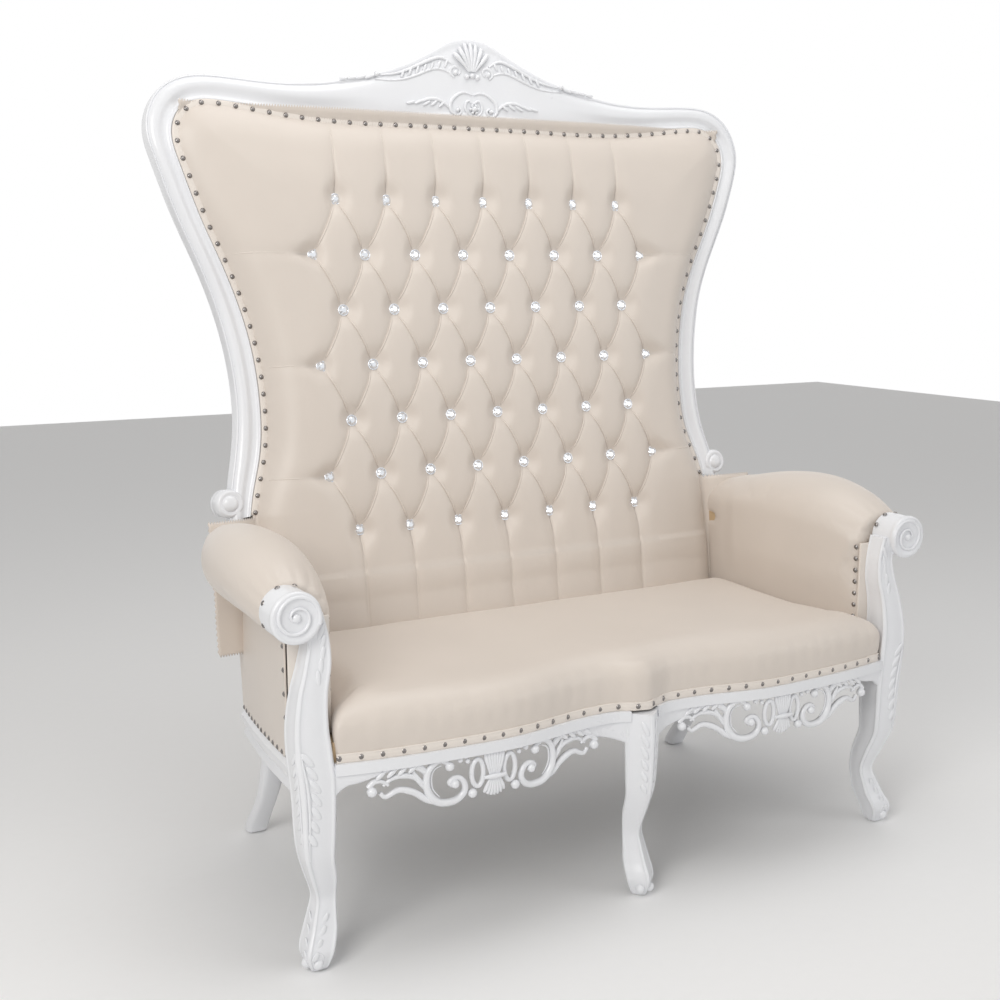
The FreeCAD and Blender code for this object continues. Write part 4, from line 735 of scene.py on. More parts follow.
def pad_deep(x, up):
    gap = max(0.0, roll_in(x, up) - 0.004)
    turn = min(1.0, gap / 0.075)
    roll = (1 - (1 - turn) ** 2.4) ** 0.8
    at_frame = bow(up) + FRAME_SET - 0.0005
    full = -PLUMP * (0.55 + 0.45 * ease(0.0, 0.16, gap))
    height = plumpness(x, up)
    surface = full * height
    if up < 0.12:
        surface = min(surface, surface * ease(-0.05, 0.10, up) - 0.004)
    return at_frame * (1 - roll) + surface * roll


print(len(button_spots), "buttons,", len(folds), "folds")

# %% The pad's leather
CUTS = 20
reach_across = 18
pad_shape = bmesh.new()
bmesh.ops.create_grid(pad_shape, x_segments=reach_across * CUTS, y_segments=reach_across * CUTS,
                      size=reach_across / 2)
lattice = Matrix((
    (PITCH / 2, -PITCH / 2, 0, 0), (ROW, ROW, 0, LAST_ROW + 2 * ROW), (0, 0, 1, 0), (0, 0, 0, 1)
))
bmesh.ops.transform(pad_shape, matrix=lattice, verts=pad_shape.verts)
gone = [v for v in pad_shape.verts
        if v.co.y < -0.024 or v.co.y > PAD_TOP + 0.03 or abs(v.co.x) > 0.73]
bmesh.ops.delete(pad_shape, geom=gone, context="VERTS")
gone = [v for v in pad_shape.verts if roll_in(v.co.x, v.co.y) < -0.004]
bmesh.ops.delete(pad_shape, geom=gone, context="VERTS")
loose = [v for v in pad_shape.verts if not v.link_faces]
bmesh.ops.delete(pad_shape, geom=loose, context="VERTS")
for face in list(pad_shape.faces):
    corners = sorted(face.verts, key=lambda v: v.co.x)
    upright = sorted(face.verts, key=lambda v: v.co.y)
    middle = face.calc_center_median()
    sideways = abs(middle.x) > row_places(1)[-1] - 0.01
    ends = (corners[0], corners[-1]) if sideways else (upright[0], upright[-1])
    if len(face.verts) == 4:
        bmesh.utils.face_split(face, ends[0], ends[1])
for vert in pad_shape.verts:
    x, up = vert.co.x, vert.co.y
    vert.co = on_back(x, up, pad_deep(x, up))
border = [edge for edge in pad_shape.edges if edge.is_boundary]
rim = bmesh.ops.extrude_edge_only(pad_shape, edges=border)["geom"]
for item in rim:
    if isinstance(item, bmesh.types.BMVert):
        item.co += Vector((0, 0.0035, 0))
bmesh.ops.recalc_face_normals(pad_shape, faces=pad_shape.faces)
outward = sum((face.normal.y for face in pad_shape.faces), 0.0)
if outward > 0:
    bmesh.ops.reverse_faces(pad_shape, faces=pad_shape.faces)
back_pad = add_piece("tufted_back_pad", pad_shape, leather,
                     stands_for=["back_pad"])

# %% [markdown]
# Seen close, every fold shows the turned edge of the leather: a thin raised line with a
# dark side. A slim tapering tube laid in each fold gives that line its own highlight.

# %% Turned edges of the folds
lips = []
for kind, start, end in folds:
    length = (end - start).length
    trim = 0.017 / length
    stations = 14 if kind == "diamond" else 12
    path = []
    for step in range(stations + 1):
        share = trim + (1 - trim * (2 if kind == "diamond" else 1)) * step / stations
        spot = start.lerp(end, share)
        slip = 0.0022 * math.sin(math.pi * share) if kind == "diamond" else 0.0
        path.append((spot.x + slip, spot.y, share))
    rings = []
    for step, (x, up, share) in enumerate(path):
        centre = on_back(x, up, pad_deep(x, up) + 0.0006)
        before = path[max(0, step - 1)]
        after = path[min(stations, step + 1)]
        way = Vector((after[0] - before[0], 0, after[1] - before[1])).normalized()
        across = way.cross(Vector((0, 1, 0))).normalized()
        thick = 0.0021 * (0.35 + 0.65 * min(1.0, 4 * (1 - abs(2 * step / stations - 1))))
        rings.append([
            centre + across * (math.cos(a) * thick * 1.25) + Vector((0, math.sin(a) * thick, 0))
            for a in (math.tau * turn / 8 for turn in range(8))
        ])
    lips.append(grow_skin(rings))
add_piece("turned_fold_edges", joined(lips), leather)

# %% [markdown]
# Crystal buttons: a plated cup, and a stone with a flat table, a ring of star facets and
# a ring of kites down to its edge. The stone is a few spun points with flat shading, so
# each facet catches the lamps on its own.

# %% Crystal buttons
stones, cups = [], []
for x, up in button_spots:
    centre = on_back(x, up, -0.0012)
    cups.append(spun([(0.0118, -0.002), (0.0132, 0.0004), (0.0136, 0.0026), (0.0130, 0.0044),
                      (0.0120, 0.0048), (0.0114, 0.0040), (0.0114, 0.001)],
                     centre, back_out, Vector((1, 0, 0)), 28))
    table = [centre + back_out * 0.0090 + Matrix.Rotation(math.tau * k / 8, 3, back_out)
             @ Vector((0.0052, 0, 0)) for k in range(8)]
    star = [centre + back_out * 0.0072 + Matrix.Rotation(math.tau * (k + 0.5) / 8, 3, back_out)
            @ Vector((0.0086, 0, 0)) for k in range(8)]
    girdle = [centre + back_out * 0.0034 + Matrix.Rotation(math.tau * k / 16, 3, back_out)
              @ Vector((0.0117, 0, 0)) for k in range(16)]
    stone = bmesh.new()
    table_v = [stone.verts.new(p) for p in table]
    star_v = [stone.verts.new(p) for p in star]
    girdle_v = [stone.verts.new(p) for p in girdle]
    stone.faces.new(table_v)
    for k in range(8):
        n = (k + 1) % 8
        stone.faces.new((table_v[k], star_v[k], table_v[n]))
        stone.faces.new((table_v[k], girdle_v[2 * k], star_v[k - 1]))
        stone.faces.new((table_v[k], star_v[k], girdle_v[2 * k]))
        stone.faces.new((star_v[k], girdle_v[(2 * k + 1) % 16], girdle_v[2 * k]))
        stone.faces.new((star_v[k], girdle_v[(2 * k + 2) % 16], girdle_v[(2 * k + 1) % 16]))
    bmesh.ops.recalc_face_normals(stone, faces=stone.faces)
    stones.append(stone)
add_piece("crystal_stones", joined(stones), crystal, smooth=False,
          stands_for=["back_buttons"])
add_piece("plated_button_cups", joined(cups), plated_rim)

# %% [markdown]
# The light welt that covers the leather's edge, all round the back. It is a narrow domed
# strip, 36 mm wide, and the dark nails are driven through its middle.

# %% Welt round the back
welt_path = []
for point in nail_line:
    welt_path.append(point)
welt_path += [Vector((-p.x, p.y, 0)) for p in reversed(nail_line[:-1])]
welt_rings = []
for index, point in enumerate(welt_path):
    before = welt_path[max(0, index - 1)]
    after = welt_path[min(len(welt_path) - 1, index + 1)]
    way = (after - before).normalized()
    out = Vector((way.y, -way.x, 0))
    ring = []
    for across, stand in ((-9.2, -1.5), (-9.0, 0.6), (-7.4, 1.9), (-4.0, 2.5), (0.0, 2.7),
                          (4.0, 2.5), (7.4, 1.9), (9.0, 0.6), (9.2, -1.5)):
        spot = point + out * (across / 1000)
        ring.append(on_back(spot.x, spot.y, bow(spot.y) + FRAME_SET - stand / 1000))
    welt_rings.append(ring)
back_welt = add_piece("back_welt", grow_skin(welt_rings), welt_leather,
                      stands_for=["back_strip"])

# %% [markdown]
# The seat and the arms are foam under leather. Each starts from the CAD's solid, cut into
# even small faces by a voxel remesh. Cloth pressure then swells it as stuffing does, and
# the swell is limited where the leather is nailed down or pressed against its neighbour.


# %% Padding helper
def even_copy(name, node, voxel, backing=()):
    """A closed copy of a CAD solid in small even faces; backing thickens its front wall."""
    shape = bmesh.new()
    shape.from_mesh(nodes[node].data)
    for distance in backing:
        known = len(shape.verts)
        shape.from_mesh(nodes[node].data)
        shape.verts.ensure_lookup_table()
        for vert in shape.verts[known:]:
            vert.co.y += distance * (1 - ease(-0.36, -0.22, vert.co.y))
    bmesh.ops.remove_doubles(shape, verts=shape.verts, dist=1e-6)
    mesh = bpy.data.meshes.new(name)
    shape.to_mesh(mesh)
    shape.free()
    piece = bpy.data.objects.new(name, mesh)
    bpy.context.scene.collection.objects.link(piece)
    remesh = piece.modifiers.new("remesh", "REMESH")
    remesh.mode = "VOXEL"
    remesh.voxel_size = voxel
    return bake_modifiers(piece)


def bake_modifiers(piece):
    """Replaces the piece's mesh by what its modifiers make of it."""
    depsgraph = bpy.context.evaluated_depsgraph_get()
    made = bpy.data.meshes.new_from_object(piece.evaluated_get(depsgraph))
    piece.modifiers.clear()
    old = piece.data
    piece.data = made
    bpy.data.meshes.remove(old)
    return piece


def swell(piece, pressure, allowance):
    """Cloth pressure for 20 frames, each point kept within its own allowance."""
    start = [vert.co.copy() for vert in piece.data.vertices]
    cloth = piece.modifiers.new("stuffing", "CLOTH")
    cloth.settings.quality = 3
    cloth.settings.use_pressure = True
    cloth.settings.uniform_pressure_force = pressure
    cloth.settings.effector_weights.gravity = 0.0
    cloth.collision_settings.use_collision = False
    for step in range(1, 21):
        bpy.context.scene.frame_set(step)
    bake_modifiers(piece)
    bpy.context.scene.frame_set(1)
    for vert, home in zip(piece.data.vertices, start):
        move = vert.co - home
        most = allowance(home)
        if move.length > most:
            move = move * (most / max(1e-9, move.length))
        vert.co = home + move
    return piece


def ease_mesh(piece, rounds, factor=0.5):
    """Smooths away the voxels' steps."""
    shape = bmesh.new()
    shape.from_mesh(piece.data)
    for _ in range(rounds):
        bmesh.ops.smooth_vert(shape, verts=shape.verts, factor=factor, use_axis_x=True,
                              use_axis_y=True, use_axis_z=True)
    shape.to_mesh(piece.data)
    shape.free()


def finish_soft(piece, finish, stands_for):
    for polygon in piece.data.polygons:
        polygon.use_smooth = True
    piece.data.materials.clear()
    piece.data.materials.append(finish)
    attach(piece, "root")
    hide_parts(stands_for)
    print(piece.name, len(piece.data.polygons), "faces")


def nail_tree(*names):
    """Finds the nearest nail: one entry for each of the nails' vertices."""
    spots = [vert.co.copy() for name in names for vert in nodes[name].data.vertices]
    tree = kdtree.KDTree(len(spots))
    for index, spot in enumerate(spots):
        tree.insert(spot, index)
    tree.balance()
    return tree


def vertices_with_normals(piece):
    """Pairs of vertex and normal, read before any vertex moves: moving one resets them."""
    return list(zip(piece.data.vertices, [vert.normal.copy() for vert in piece.data.vertices]))


def pull_at_nails(piece, tree, depth, reach):
    """Each nail draws the leather in a little around its head."""
    for vert, normal in vertices_with_normals(piece):
        gap = tree.find(vert.co)[2]
        if gap < reach * 3:
            vert.co = vert.co - normal * (depth * math.exp(-(gap / reach) ** 2))


# %% Seat
seat = even_copy("tight_seat", "seat_cushion", 0.0075, backing=(0.003, 0.006, 0.009, 0.012))
ease_mesh(seat, 2)


def seat_allowance(home):
    free = ease(0.418, 0.455, home.z)
    free *= 1 - ease(0.60, 0.66, abs(home.x))
    free *= 1 - ease(0.10, 0.16, home.y)
    return 0.0075 * free


swell(seat, 4.0, seat_allowance)
pull_at_nails(seat, nail_tree("seat_nails"), 0.0012, 0.007)
for vert in seat.data.vertices:
    x, y, z = vert.co
    # slack leather: long soft ripples over the top, and short ones up from the front nails
    ripple = noise.noise(Vector((x * 4.0, y * 9.0, 0.3))) * 0.0016
    ripple += noise.noise(Vector((x * 13.0, y * 5.0, 1.7))) * 0.0008
    front = (1 - ease(-0.33, -0.24, y)) * ease(0.43, 0.46, z) * (1 - ease(0.49, 0.515, z))
    pull = math.sin(x * math.tau / 0.0395 + 3 * noise.noise(Vector((x * 9, 0, 4)))) * 0.0006
    vert.co += Vector((0, -pull * front, ripple * ease(0.47, 0.50, z)))
finish_soft(seat, leather, "seat_cushion")

# %% [markdown]
# At the front of each arm the leather of the round roll has to shrink to the small circle
# of the volute. An upholsterer takes up the slack in darts, folds that fan out from the
# volute and die away along the roll. They are pressed into the swollen skin here.

# %% Arms
ARM_AXIS = [(-0.337, 0.736, 0.690), (-0.217, 0.738, 0.712), (-0.087, 0.735, 0.724),
            (0.043, 0.715, 0.722), (0.163, 0.690, 0.708)]
DARTS = [math.radians(angle) for angle in (-8, 22, 47, 71, 96, 122, 150, 178)]


def arm_side(piece, sign):
    for vert, normal in vertices_with_normals(piece):
        x, y, z = vert.co
        centre_x, centre_z = mix_rows(ARM_AXIS, y)
        out_x, out_z = x * sign - centre_x, z - centre_z
        angle = math.atan2(out_z, out_x)
        reach = math.hypot(out_x, out_z)
        fade = (1 - ease(-0.30, -0.17, y)) * ease(0.03, 0.045, reach)
        dent = 0.0
        for number, dart in enumerate(DARTS):
            turn = abs((angle - dart + math.pi) % math.tau - math.pi)
            length = -0.20 - 0.03 * (number % 3)
            strength = 1 - ease(-0.335, length + 0.05, y)
            gap = turn * reach
            dent += strength * math.exp(-gap / 0.0055)
        swelling = noise.noise(Vector((x * 11, y * 7, z * 11))) * 0.0012
        push = swelling - 0.0046 * fade * min(1.0, dent) + 0.0012 * fade
        vert.co = vert.co + normal * push


arm_nails = {"right": nail_tree("arm_nails_right", "side_nails_right"),
             "left": nail_tree("arm_nails_left", "side_nails_left")}


def arm_allowance(home):
    free = ease(0.52, 0.60, home.z) * ease(-0.345, -0.325, home.y)
    free *= 1 - ease(0.10, 0.15, home.y)
    return 0.006 * free


for hand, sign in (("right", 1), ("left", -1)):
    arm = even_copy("rolled_arm_" + hand, "arm_pad_" + hand, 0.0065)
    ease_mesh(arm, 2)
    swell(arm, 3.0, arm_allowance)
    arm_side(arm, sign)
    pull_at_nails(arm, arm_nails[hand], 0.0010, 0.007)
    finish_soft(arm, leather, "arm_pad_" + hand)


# %% [markdown]
# The covered panels and the cloths of the inside are thin sheets. The panels are remade from
# their CAD solids with small even faces and a slight fullness, because stretched cloth is
# never as true as a board; the cloths keep their own mesh, cut into finer faces.

# %% Covered panels and inner cloths
def covered_panel(node, name, finish, voxel, fullness):
    piece = even_copy(name, node, voxel)
    ease_mesh(piece, 1)
    for vert, normal in vertices_with_normals(piece):
        vert.co = vert.co + normal * (noise.noise(vert.co * 5.0) * fullness)
    finish_soft(piece, finish, node)
    return piece


covered_panel("outside_back", "outside_back_cover", leather, 0.0048, 0.0005)
for hand in ("right", "left"):
    covered_panel("outside_arm_" + hand, "outside_arm_cover_" + hand, leather,
                  0.0030, 0.0004)
print("covers ready")


def woven_copy(node, name, finish):
    """The cloth's own mesh in finer faces."""
    shape = bmesh.new()
    shape.from_mesh(nodes[node].data)
    bmesh.ops.remove_doubles(shape, verts=shape.verts, dist=1e-6)
    for _ in range(5):
        long_edges = [edge for edge in shape.edges if edge.calc_length() > 0.05]
        if not long_edges:
            break
        bmesh.ops.subdivide_edges(shape, edges=long_edges, cuts=1)
        bmesh.ops.triangulate(shape, faces=shape.faces)
    piece = add_piece(name, shape, finish, smooth=False, stands_for=[node])
    sharp_below(piece, 40)
    return piece


deck = woven_copy("seat_deck", "deck_cloth", jute)
under = woven_copy("dust_cover", "under_cloth", black_cloth)
straps = woven_copy("back_webbing", "back_straps", jute)

# %% [markdown]
# A light welt runs under the seat's nails, and a narrow leather panel closes each arm's
# front behind its post. Both hide raw edges, as they do on the real settee.

# %% Seat welt and arm fronts
nail_marks_of_seat = {}
for vert in nodes["seat_nails"].data.vertices:
    for key in nail_marks_of_seat:
        if abs(key - vert.co.x) < 0.008:
            nail_marks_of_seat[key].append(vert.co.copy())
            break
    else:
        nail_marks_of_seat[vert.co.x] = [vert.co.copy()]
heads = []
for group in nail_marks_of_seat.values():
    heads.append(Vector((
        (min(p.x for p in group) + max(p.x for p in group)) / 2, max(p.y for p in group),
        (min(p.z for p in group) + max(p.z for p in group)) / 2)))
heads.sort(key=lambda spot: spot.x)
print(len(heads), "nails along the seat")
welt_line = smooth_line(heads, 220)
welt_rings = []
for point in welt_line:
    welt_rings.append([point + Vector((0, back / 1000, rise / 1000)) for back, rise in (
        (3.0, -9.6), (-0.2, -9.2), (-1.2, -7.0), (-0.6, -5.6), (-1.4, -3.0), (-1.6, 0.0),
        (-1.4, 3.0), (-0.6, 5.6), (-1.2, 7.0), (-0.2, 8.6), (3.0, 9.0))])
seat_welt = add_piece("seat_welt", grow_skin(welt_rings), welt_leather)
arm_front = bmesh.new()
roll_front_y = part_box("arm_pad_right")[0][1]
bmesh.ops.create_cube(arm_front, size=1.0)
centre_of_front = Vector(((0.655 + 0.737) / 2, roll_front_y - 0.0015, (0.445 + 0.672) / 2))
bmesh.ops.scale(arm_front, vec=(0.082, 0.006, 0.227), verts=arm_front.verts)
bmesh.ops.translate(arm_front, vec=centre_of_front, verts=arm_front.verts)
bmesh.ops.bevel(arm_front, geom=arm_front.edges[:] + arm_front.verts[:], offset=0.0015,
                segments=3, profile=0.5, affect="EDGES", material=-1)
for piece in add_pair("arm_front_cover", arm_front, welt_leather):
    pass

# %% [markdown]
# The front legs and the arm posts are carved from one stile each, so each is one skin
# here too. It is grown through rings from a table of heights, centres and half widths.
# Every ring has a thin bead beside each corner, which runs on down the whole leg.


# %% Beaded stiles
def eased_rows(rows, at):
    """A smooth curve through the rows of a table, with no overshoot at its ends."""
    for index in range(len(rows) - 1):
        low, high = rows[index], rows[index + 1]
        if at <= high[0] or index == len(rows) - 2:
            before = rows[max(0, index - 1)]
            after = rows[min(len(rows) - 1, index + 2)]
            span = high[0] - low[0]
            t = min(1.0, max(0.0, (at - low[0]) / span))
            values = []
            for k in range(1, len(low)):
                m0 = (high[k] - before[k]) / max(1e-9, high[0] - before[0]) * span
                m1 = (after[k] - low[k]) / max(1e-9, after[0] - low[0]) * span
                values.append((2 * t**3 - 3 * t**2 + 1) * low[k] + (t**3 - 2 * t**2 + t) * m0
                              + (3 * t**2 - 2 * t**3) * high[k] + (t**3 - t**2) * m1)
            return values
    return rows[-1][1:]


FACE = [(-0.95, -2.6), (-0.90, -0.9), (-0.84, 0.3), (-0.77, 0.2), (-0.72, -1.0), (-0.64, -1.5),
        (-0.40, -0.6), (0.0, 0.2), (0.40, -0.6), (0.64, -1.5), (0.72, -1.0), (0.77, 0.2),
        (0.84, 0.3), (0.90, -0.9), (0.95, -2.6)]


def stile_skin(rows, steps, turn=0.0):
    """rows are (height, centre x, centre y, half across, half deep)."""
    rings = []
    low, high = rows[0][0], rows[-1][0]
    for step in range(steps + 1):
        level = low + (high - low) * step / steps
        cx, cy, half_x, half_y = eased_rows(rows, level)
        ring = []
        for side in range(4):
            angle = side * math.pi / 2
            normal = Vector((math.cos(angle), math.sin(angle), 0))
            along = Vector((-normal.y, normal.x, 0))
            reach = half_x if side % 2 == 0 else half_y
            spread = half_y if side % 2 == 0 else half_x
            for share, out in FACE:
                stand = out / 1000 * min(1.0, reach / 0.03)
                spot = normal * (reach + stand) + along * (share * spread)
                ring.append(Matrix.Rotation(turn, 3, "Z") @ spot + Vector((cx, cy, level)))
        rings.append(ring)
    return grow_skin(rings)


foot_x, foot_y = 0.705, -0.337
step_out = math.sqrt(0.5)
LEG = [(0.003, 0.003, 0.0150), (0.012, 0.003, 0.0195), (0.039, 0.003, 0.0272),
       (0.074, -0.015, 0.0262), (0.100, -0.024, 0.0228), (0.132, -0.032, 0.0200),
       (0.176, -0.021, 0.0255), (0.223, -0.004, 0.0285), (0.256, -0.001, 0.0310),
       (0.330, 0.000, 0.0335)]
rows = [(z, foot_x + o * step_out, foot_y - o * step_out, h, h) for z, o, h in LEG]
rows += [(0.375, 0.7068, -0.3375, 0.0350, 0.0345), (0.425, 0.7120, -0.3380, 0.0352, 0.0335),
         (0.480, 0.7150, -0.3370, 0.0325, 0.0315), (0.540, 0.7090, -0.3345, 0.0290, 0.0280),
         (0.593, 0.6965, -0.3320, 0.0262, 0.0250), (0.640, 0.6930, -0.3300, 0.0212, 0.0230),
         (0.690, 0.7060, -0.3290, 0.0230, 0.0240)]
corner_stile = stile_skin(rows, 150)

# The volute on top: a dished drum with a spiral ridge wound to its centre
roll_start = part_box("arm_pad_right")[0][1]
eye = Vector((0.740, -0.367, 0.690))
depth = roll_start - eye.y
volute = spun([(0.0, 0.001), (0.030, 0.0015), (0.040, 0.004), (0.0445, 0.0055), (0.0480, 0.003),
               (0.0490, -0.002), (0.0475, -0.006), (0.0465, -0.010), (0.0475, -0.014),
               (0.0475, -depth), (0.0, -depth)],
              eye, Vector((0, -1, 0)), Vector((1, 0, 0)), 48)


def tube(path, radii, sides=10, flat=1.0, up=Vector((0, -1, 0))):
    """A round or flattened tube along points, with a radius for each end and the middle."""
    rings = []
    total = len(path) - 1
    for index, point in enumerate(path):
        way = (path[min(total, index + 1)] - path[max(0, index - 1)]).normalized()
        across = way.cross(up).normalized()
        face = across.cross(way).normalized()
        radius = mix_rows(radii, index / total)[0]
        rings.append([point + across * math.cos(a) * radius + face * math.sin(a) * radius * flat
                      for a in (math.tau * k / sides for k in range(sides))])
    return grow_skin(rings)


spiral = []
for step in range(61):
    share = step / 60
    angle = math.radians(200) - share * math.radians(600)
    radius = 0.0385 * (1 - share) ** 0.8 + 0.006
    spiral.append(eye + Vector((math.cos(angle) * radius, -0.0035, math.sin(angle) * radius)))
spiral_ridge = tube(spiral, [(0, 0.0042), (0.6, 0.0032), (1, 0.0022)])
eye_ball = ball(0.0085, eye + Vector((0, -0.002, 0)), (1, 0.7, 1))


def lobe(place, length, width, proud, tilt, normal=Vector((0, -1, 0))):
    """One pointed lobe of a carved leaf, laid on a surface and tilted in its plane."""
    turn = normal.to_track_quat("Y", "Z").to_matrix()
    turn = turn @ Matrix.Rotation(tilt, 3, "Y")
    return ball(1.0, place, (width, proud, length), turn, 12)


def face_point(level, across, side=0.0):
    """A point on the stile's front face, or on its outer side face where side is 1."""
    cx, cy, half_x, half_y = eased_rows(rows, level)
    if side:
        return Vector((cx + half_x, cy + across * half_y, level))
    return Vector((cx + across * half_x, cy - half_y, level))


leaves = []
for side, normal in ((0, Vector((0, -1, 0))), (1, Vector((1, 0, 0)))):
    flip = 1 if side == 0 else -1
    for index in range(7):
        level = 0.425 - 0.026 * index
        share = index / 6
        across = flip * (0.62 - 0.42 * math.sin(math.pi * (0.15 + 0.75 * share)))
        tilt = flip * math.radians(-38 + 10 * share)
        leaves.append(lobe(face_point(level, across, side), 0.019 - 0.004 * share,
                           0.0062, 0.0026, tilt, normal))
    ridge = [face_point(0.432 - 0.205 * k / 20, flip * (0.74 - 0.14 * math.sin(k / 20 * math.pi)),
                        side) for k in range(21)]
    leaves.append(tube(ridge, [(0, 0.0016), (0.4, 0.0034), (1, 0.0010)], 8, 0.7, normal))
    for index in range(4):
        level = 0.095 - 0.019 * index
        leaves.append(lobe(face_point(level, flip * (0.10 + 0.10 * index), side),
                           0.016 - 0.002 * index, 0.0055, 0.0024, flip * math.radians(24), normal))
    leaves.append(ball(0.0105, face_point(0.020, flip * 0.25, side), (1, 0.8, 1)))
    leaves.append(tube([face_point(0.030 + 0.012 * math.sin(a), flip * (0.25 + 0.42 * math.cos(a)),
                                   side) for a in (math.radians(-60 + 12 * k) for k in range(22))],
                       [(0, 0.0014), (0.5, 0.0026), (1, 0.0012)], 8, 0.8, normal))
for index in range(5):
    level = 0.655 - 0.021 * index
    leaves.append(lobe(face_point(level, -0.35 + 0.06 * index), 0.016, 0.0050, 0.0024,
                       math.radians(22 - 6 * index)))
stile_and_leaves = joined([corner_stile, volute, spiral_ridge, eye_ball] + leaves)
corner_pair = add_pair("carved_corner_stile", stile_and_leaves, lacquer,
                       stands_for=("front_leg", "arm_post"))
for piece in corner_pair:
    sharp_below(piece, 60)

# %% Centre leg
rows = [(z, 0.0, -0.3786 - o * 0.92, h * 0.92, h * 0.92) for z, o, h in LEG]
rows += [(0.360, 0.0, -0.3790, 0.0312, 0.0312), (0.402, 0.0, -0.3765, 0.0312, 0.0312)]
centre_skin = stile_skin(rows, 100, math.radians(45))
centre_leaves = []
for index in range(6):
    level = 0.372 - 0.026 * index
    for flip in (-1, 1):
        cx, cy, half, _ = eased_rows(rows, level)
        spot = Vector((flip * half * 0.42, cy - half * 1.414 + half * 0.42, level))
        centre_leaves.append(lobe(spot, 0.017 - 0.0012 * index, 0.0058, 0.0026,
                                  flip * math.radians(-26),
                                  Vector((flip * 0.707, -0.707, 0))))
for flip in (-1, 1):
    cx, cy, half, _ = eased_rows(rows, 0.022)
    centre_leaves.append(ball(0.0100, Vector((flip * half * 0.55, cy - half * 0.85, 0.020))))
centre_leg = add_piece("carved_centre_leg", joined([centre_skin] + centre_leaves), lacquer,
                       stands_for=["front_leg_centre"])
sharp_below(centre_leg, 60)

# %% [markdown]
# The apron is pierced carving: fat C scrolls, rings, balls and leaves that touch one
# another, with dark gaps between them. Each half repeats one motif on both sides of a
# fluted shell. Round tubes laid along the scrolls' own lines give the full, rolled
# relief that a cut-out board lacks.

# %% Apron
edge_of_apron = {}
for vert in nodes["carved_apron_right"].data.vertices:
    key = round(vert.co.x / 0.01)
    edge_of_apron[key] = min(edge_of_apron.get(key, 9.0), vert.co.y)
apron_line = [(key * 0.01, edge_of_apron[key]) for key in sorted(edge_of_apron)]
SHELL_X = 0.3585


def on_apron(x, z, proud=0.0):
    return Vector((x, mix_rows(apron_line, x)[0] + 0.006 - proud, z))


LOWER_EDGE = [(0.030, 0.330), (0.045, 0.340), (0.070, 0.349), (0.100, 0.357), (0.150, 0.372),
              (0.200, 0.384), (0.500, 0.384), (0.570, 0.378), (0.630, 0.3636), (0.652, 0.3605),
              (0.668, 0.350), (0.680, 0.336)]
board_rings = []
for step in range(90):
    x = 0.031 + (0.680 - 0.031) * step / 89
    low = mix_rows(LOWER_EDGE, x)[0]
    y = mix_rows(apron_line, x)[0]
    board_rings.append([Vector((x, y + 0.0035, 0.4035)), Vector((x, y + 0.0015, 0.398)),
                        Vector((x, y + 0.0015, low + 0.006)), Vector((x, y + 0.0030, low + 0.002)),
                        Vector((x, y + 0.0060, low)), Vector((x, y + 0.0150, low)),
                        Vector((x, y + 0.0160, 0.4035))])
apron_parts = [grow_skin(board_rings)]
for flip in (-1, 1):
    def at(d, z, proud=0.0):
        return on_apron(SHELL_X + flip * d, z, proud)

    def scroll(marks, radii, flat=1.0):
        path = smooth_line([at(d, z) for d, z in marks], 8 * len(marks))
        apron_parts.append(tube(path, radii, 10, flat))

    scroll([(0.094, 0.372), (0.112, 0.384), (0.132, 0.374), (0.141, 0.352), (0.136, 0.322),
            (0.118, 0.303), (0.096, 0.2985), (0.075, 0.303), (0.062, 0.319), (0.067, 0.338),
            (0.083, 0.345), (0.094, 0.337), (0.087, 0.330)],
           [(0, 0.0050), (0.45, 0.0085), (0.75, 0.0068), (1, 0.0045)])
    scroll([(0.110, 0.374), (0.126, 0.366), (0.131, 0.350), (0.127, 0.328), (0.114, 0.312)],
           [(0, 0.0010), (0.5, 0.0022), (1, 0.0010)])
    apron_parts.append(ball(0.0092, at(0.094, 0.370, 0.002)))
    apron_parts.append(ball(0.0085, at(0.084, 0.334, 0.004)))
    ring_marks = [(0.035 + 0.0125 * math.cos(a), 0.347 + 0.027 * math.sin(a))
                  for a in (math.tau * k / 24 for k in range(25))]
    apron_parts.append(tube([at(d, z) for d, z in ring_marks], [(0, 0.0050), (1, 0.0050)]))
    apron_parts.append(ball(0.0092, at(0.047, 0.3085, 0.002)))
    scroll([(0.122, 0.304), (0.140, 0.311), (0.158, 0.325), (0.178, 0.336), (0.203, 0.3385),
            (0.224, 0.331), (0.232, 0.340)],
           [(0, 0.0060), (0.5, 0.0072), (1, 0.0042)])
    scroll([(0.216, 0.352), (0.228, 0.361), (0.243, 0.362), (0.254, 0.352)],
           [(0, 0.0030), (0.5, 0.0052), (1, 0.0060)])
    apron_parts.append(ball(0.0100, at(0.2480, 0.3440, 0.002)))
    scroll([(0.138, 0.362), (0.160, 0.381), (0.190, 0.391), (0.222, 0.391), (0.250, 0.382)],
           [(0, 0.0058), (0.4, 0.0095), (1, 0.0022)], 0.7)
    scroll([(0.148, 0.345), (0.166, 0.360), (0.190, 0.367), (0.213, 0.362), (0.226, 0.352)],
           [(0, 0.0042), (0.5, 0.0062), (1, 0.0026)])
    scroll([(0.145, 0.335), (0.155, 0.350), (0.168, 0.372)],
           [(0, 0.0038), (0.5, 0.0060), (1, 0.0030)])
    for index in range(4):
        apron_parts.append(lobe(at(0.168 + 0.021 * index, 0.380 - 0.0015 * index, 0.004),
                                0.0135, 0.0048, 0.0040, flip * math.radians(52)))
    for index, (d, z) in enumerate(((0.060, 0.386), (0.072, 0.379), (0.056, 0.374))):
        apron_parts.append(ball(0.0066 - 0.0008 * index, at(d, z, 0.001)))
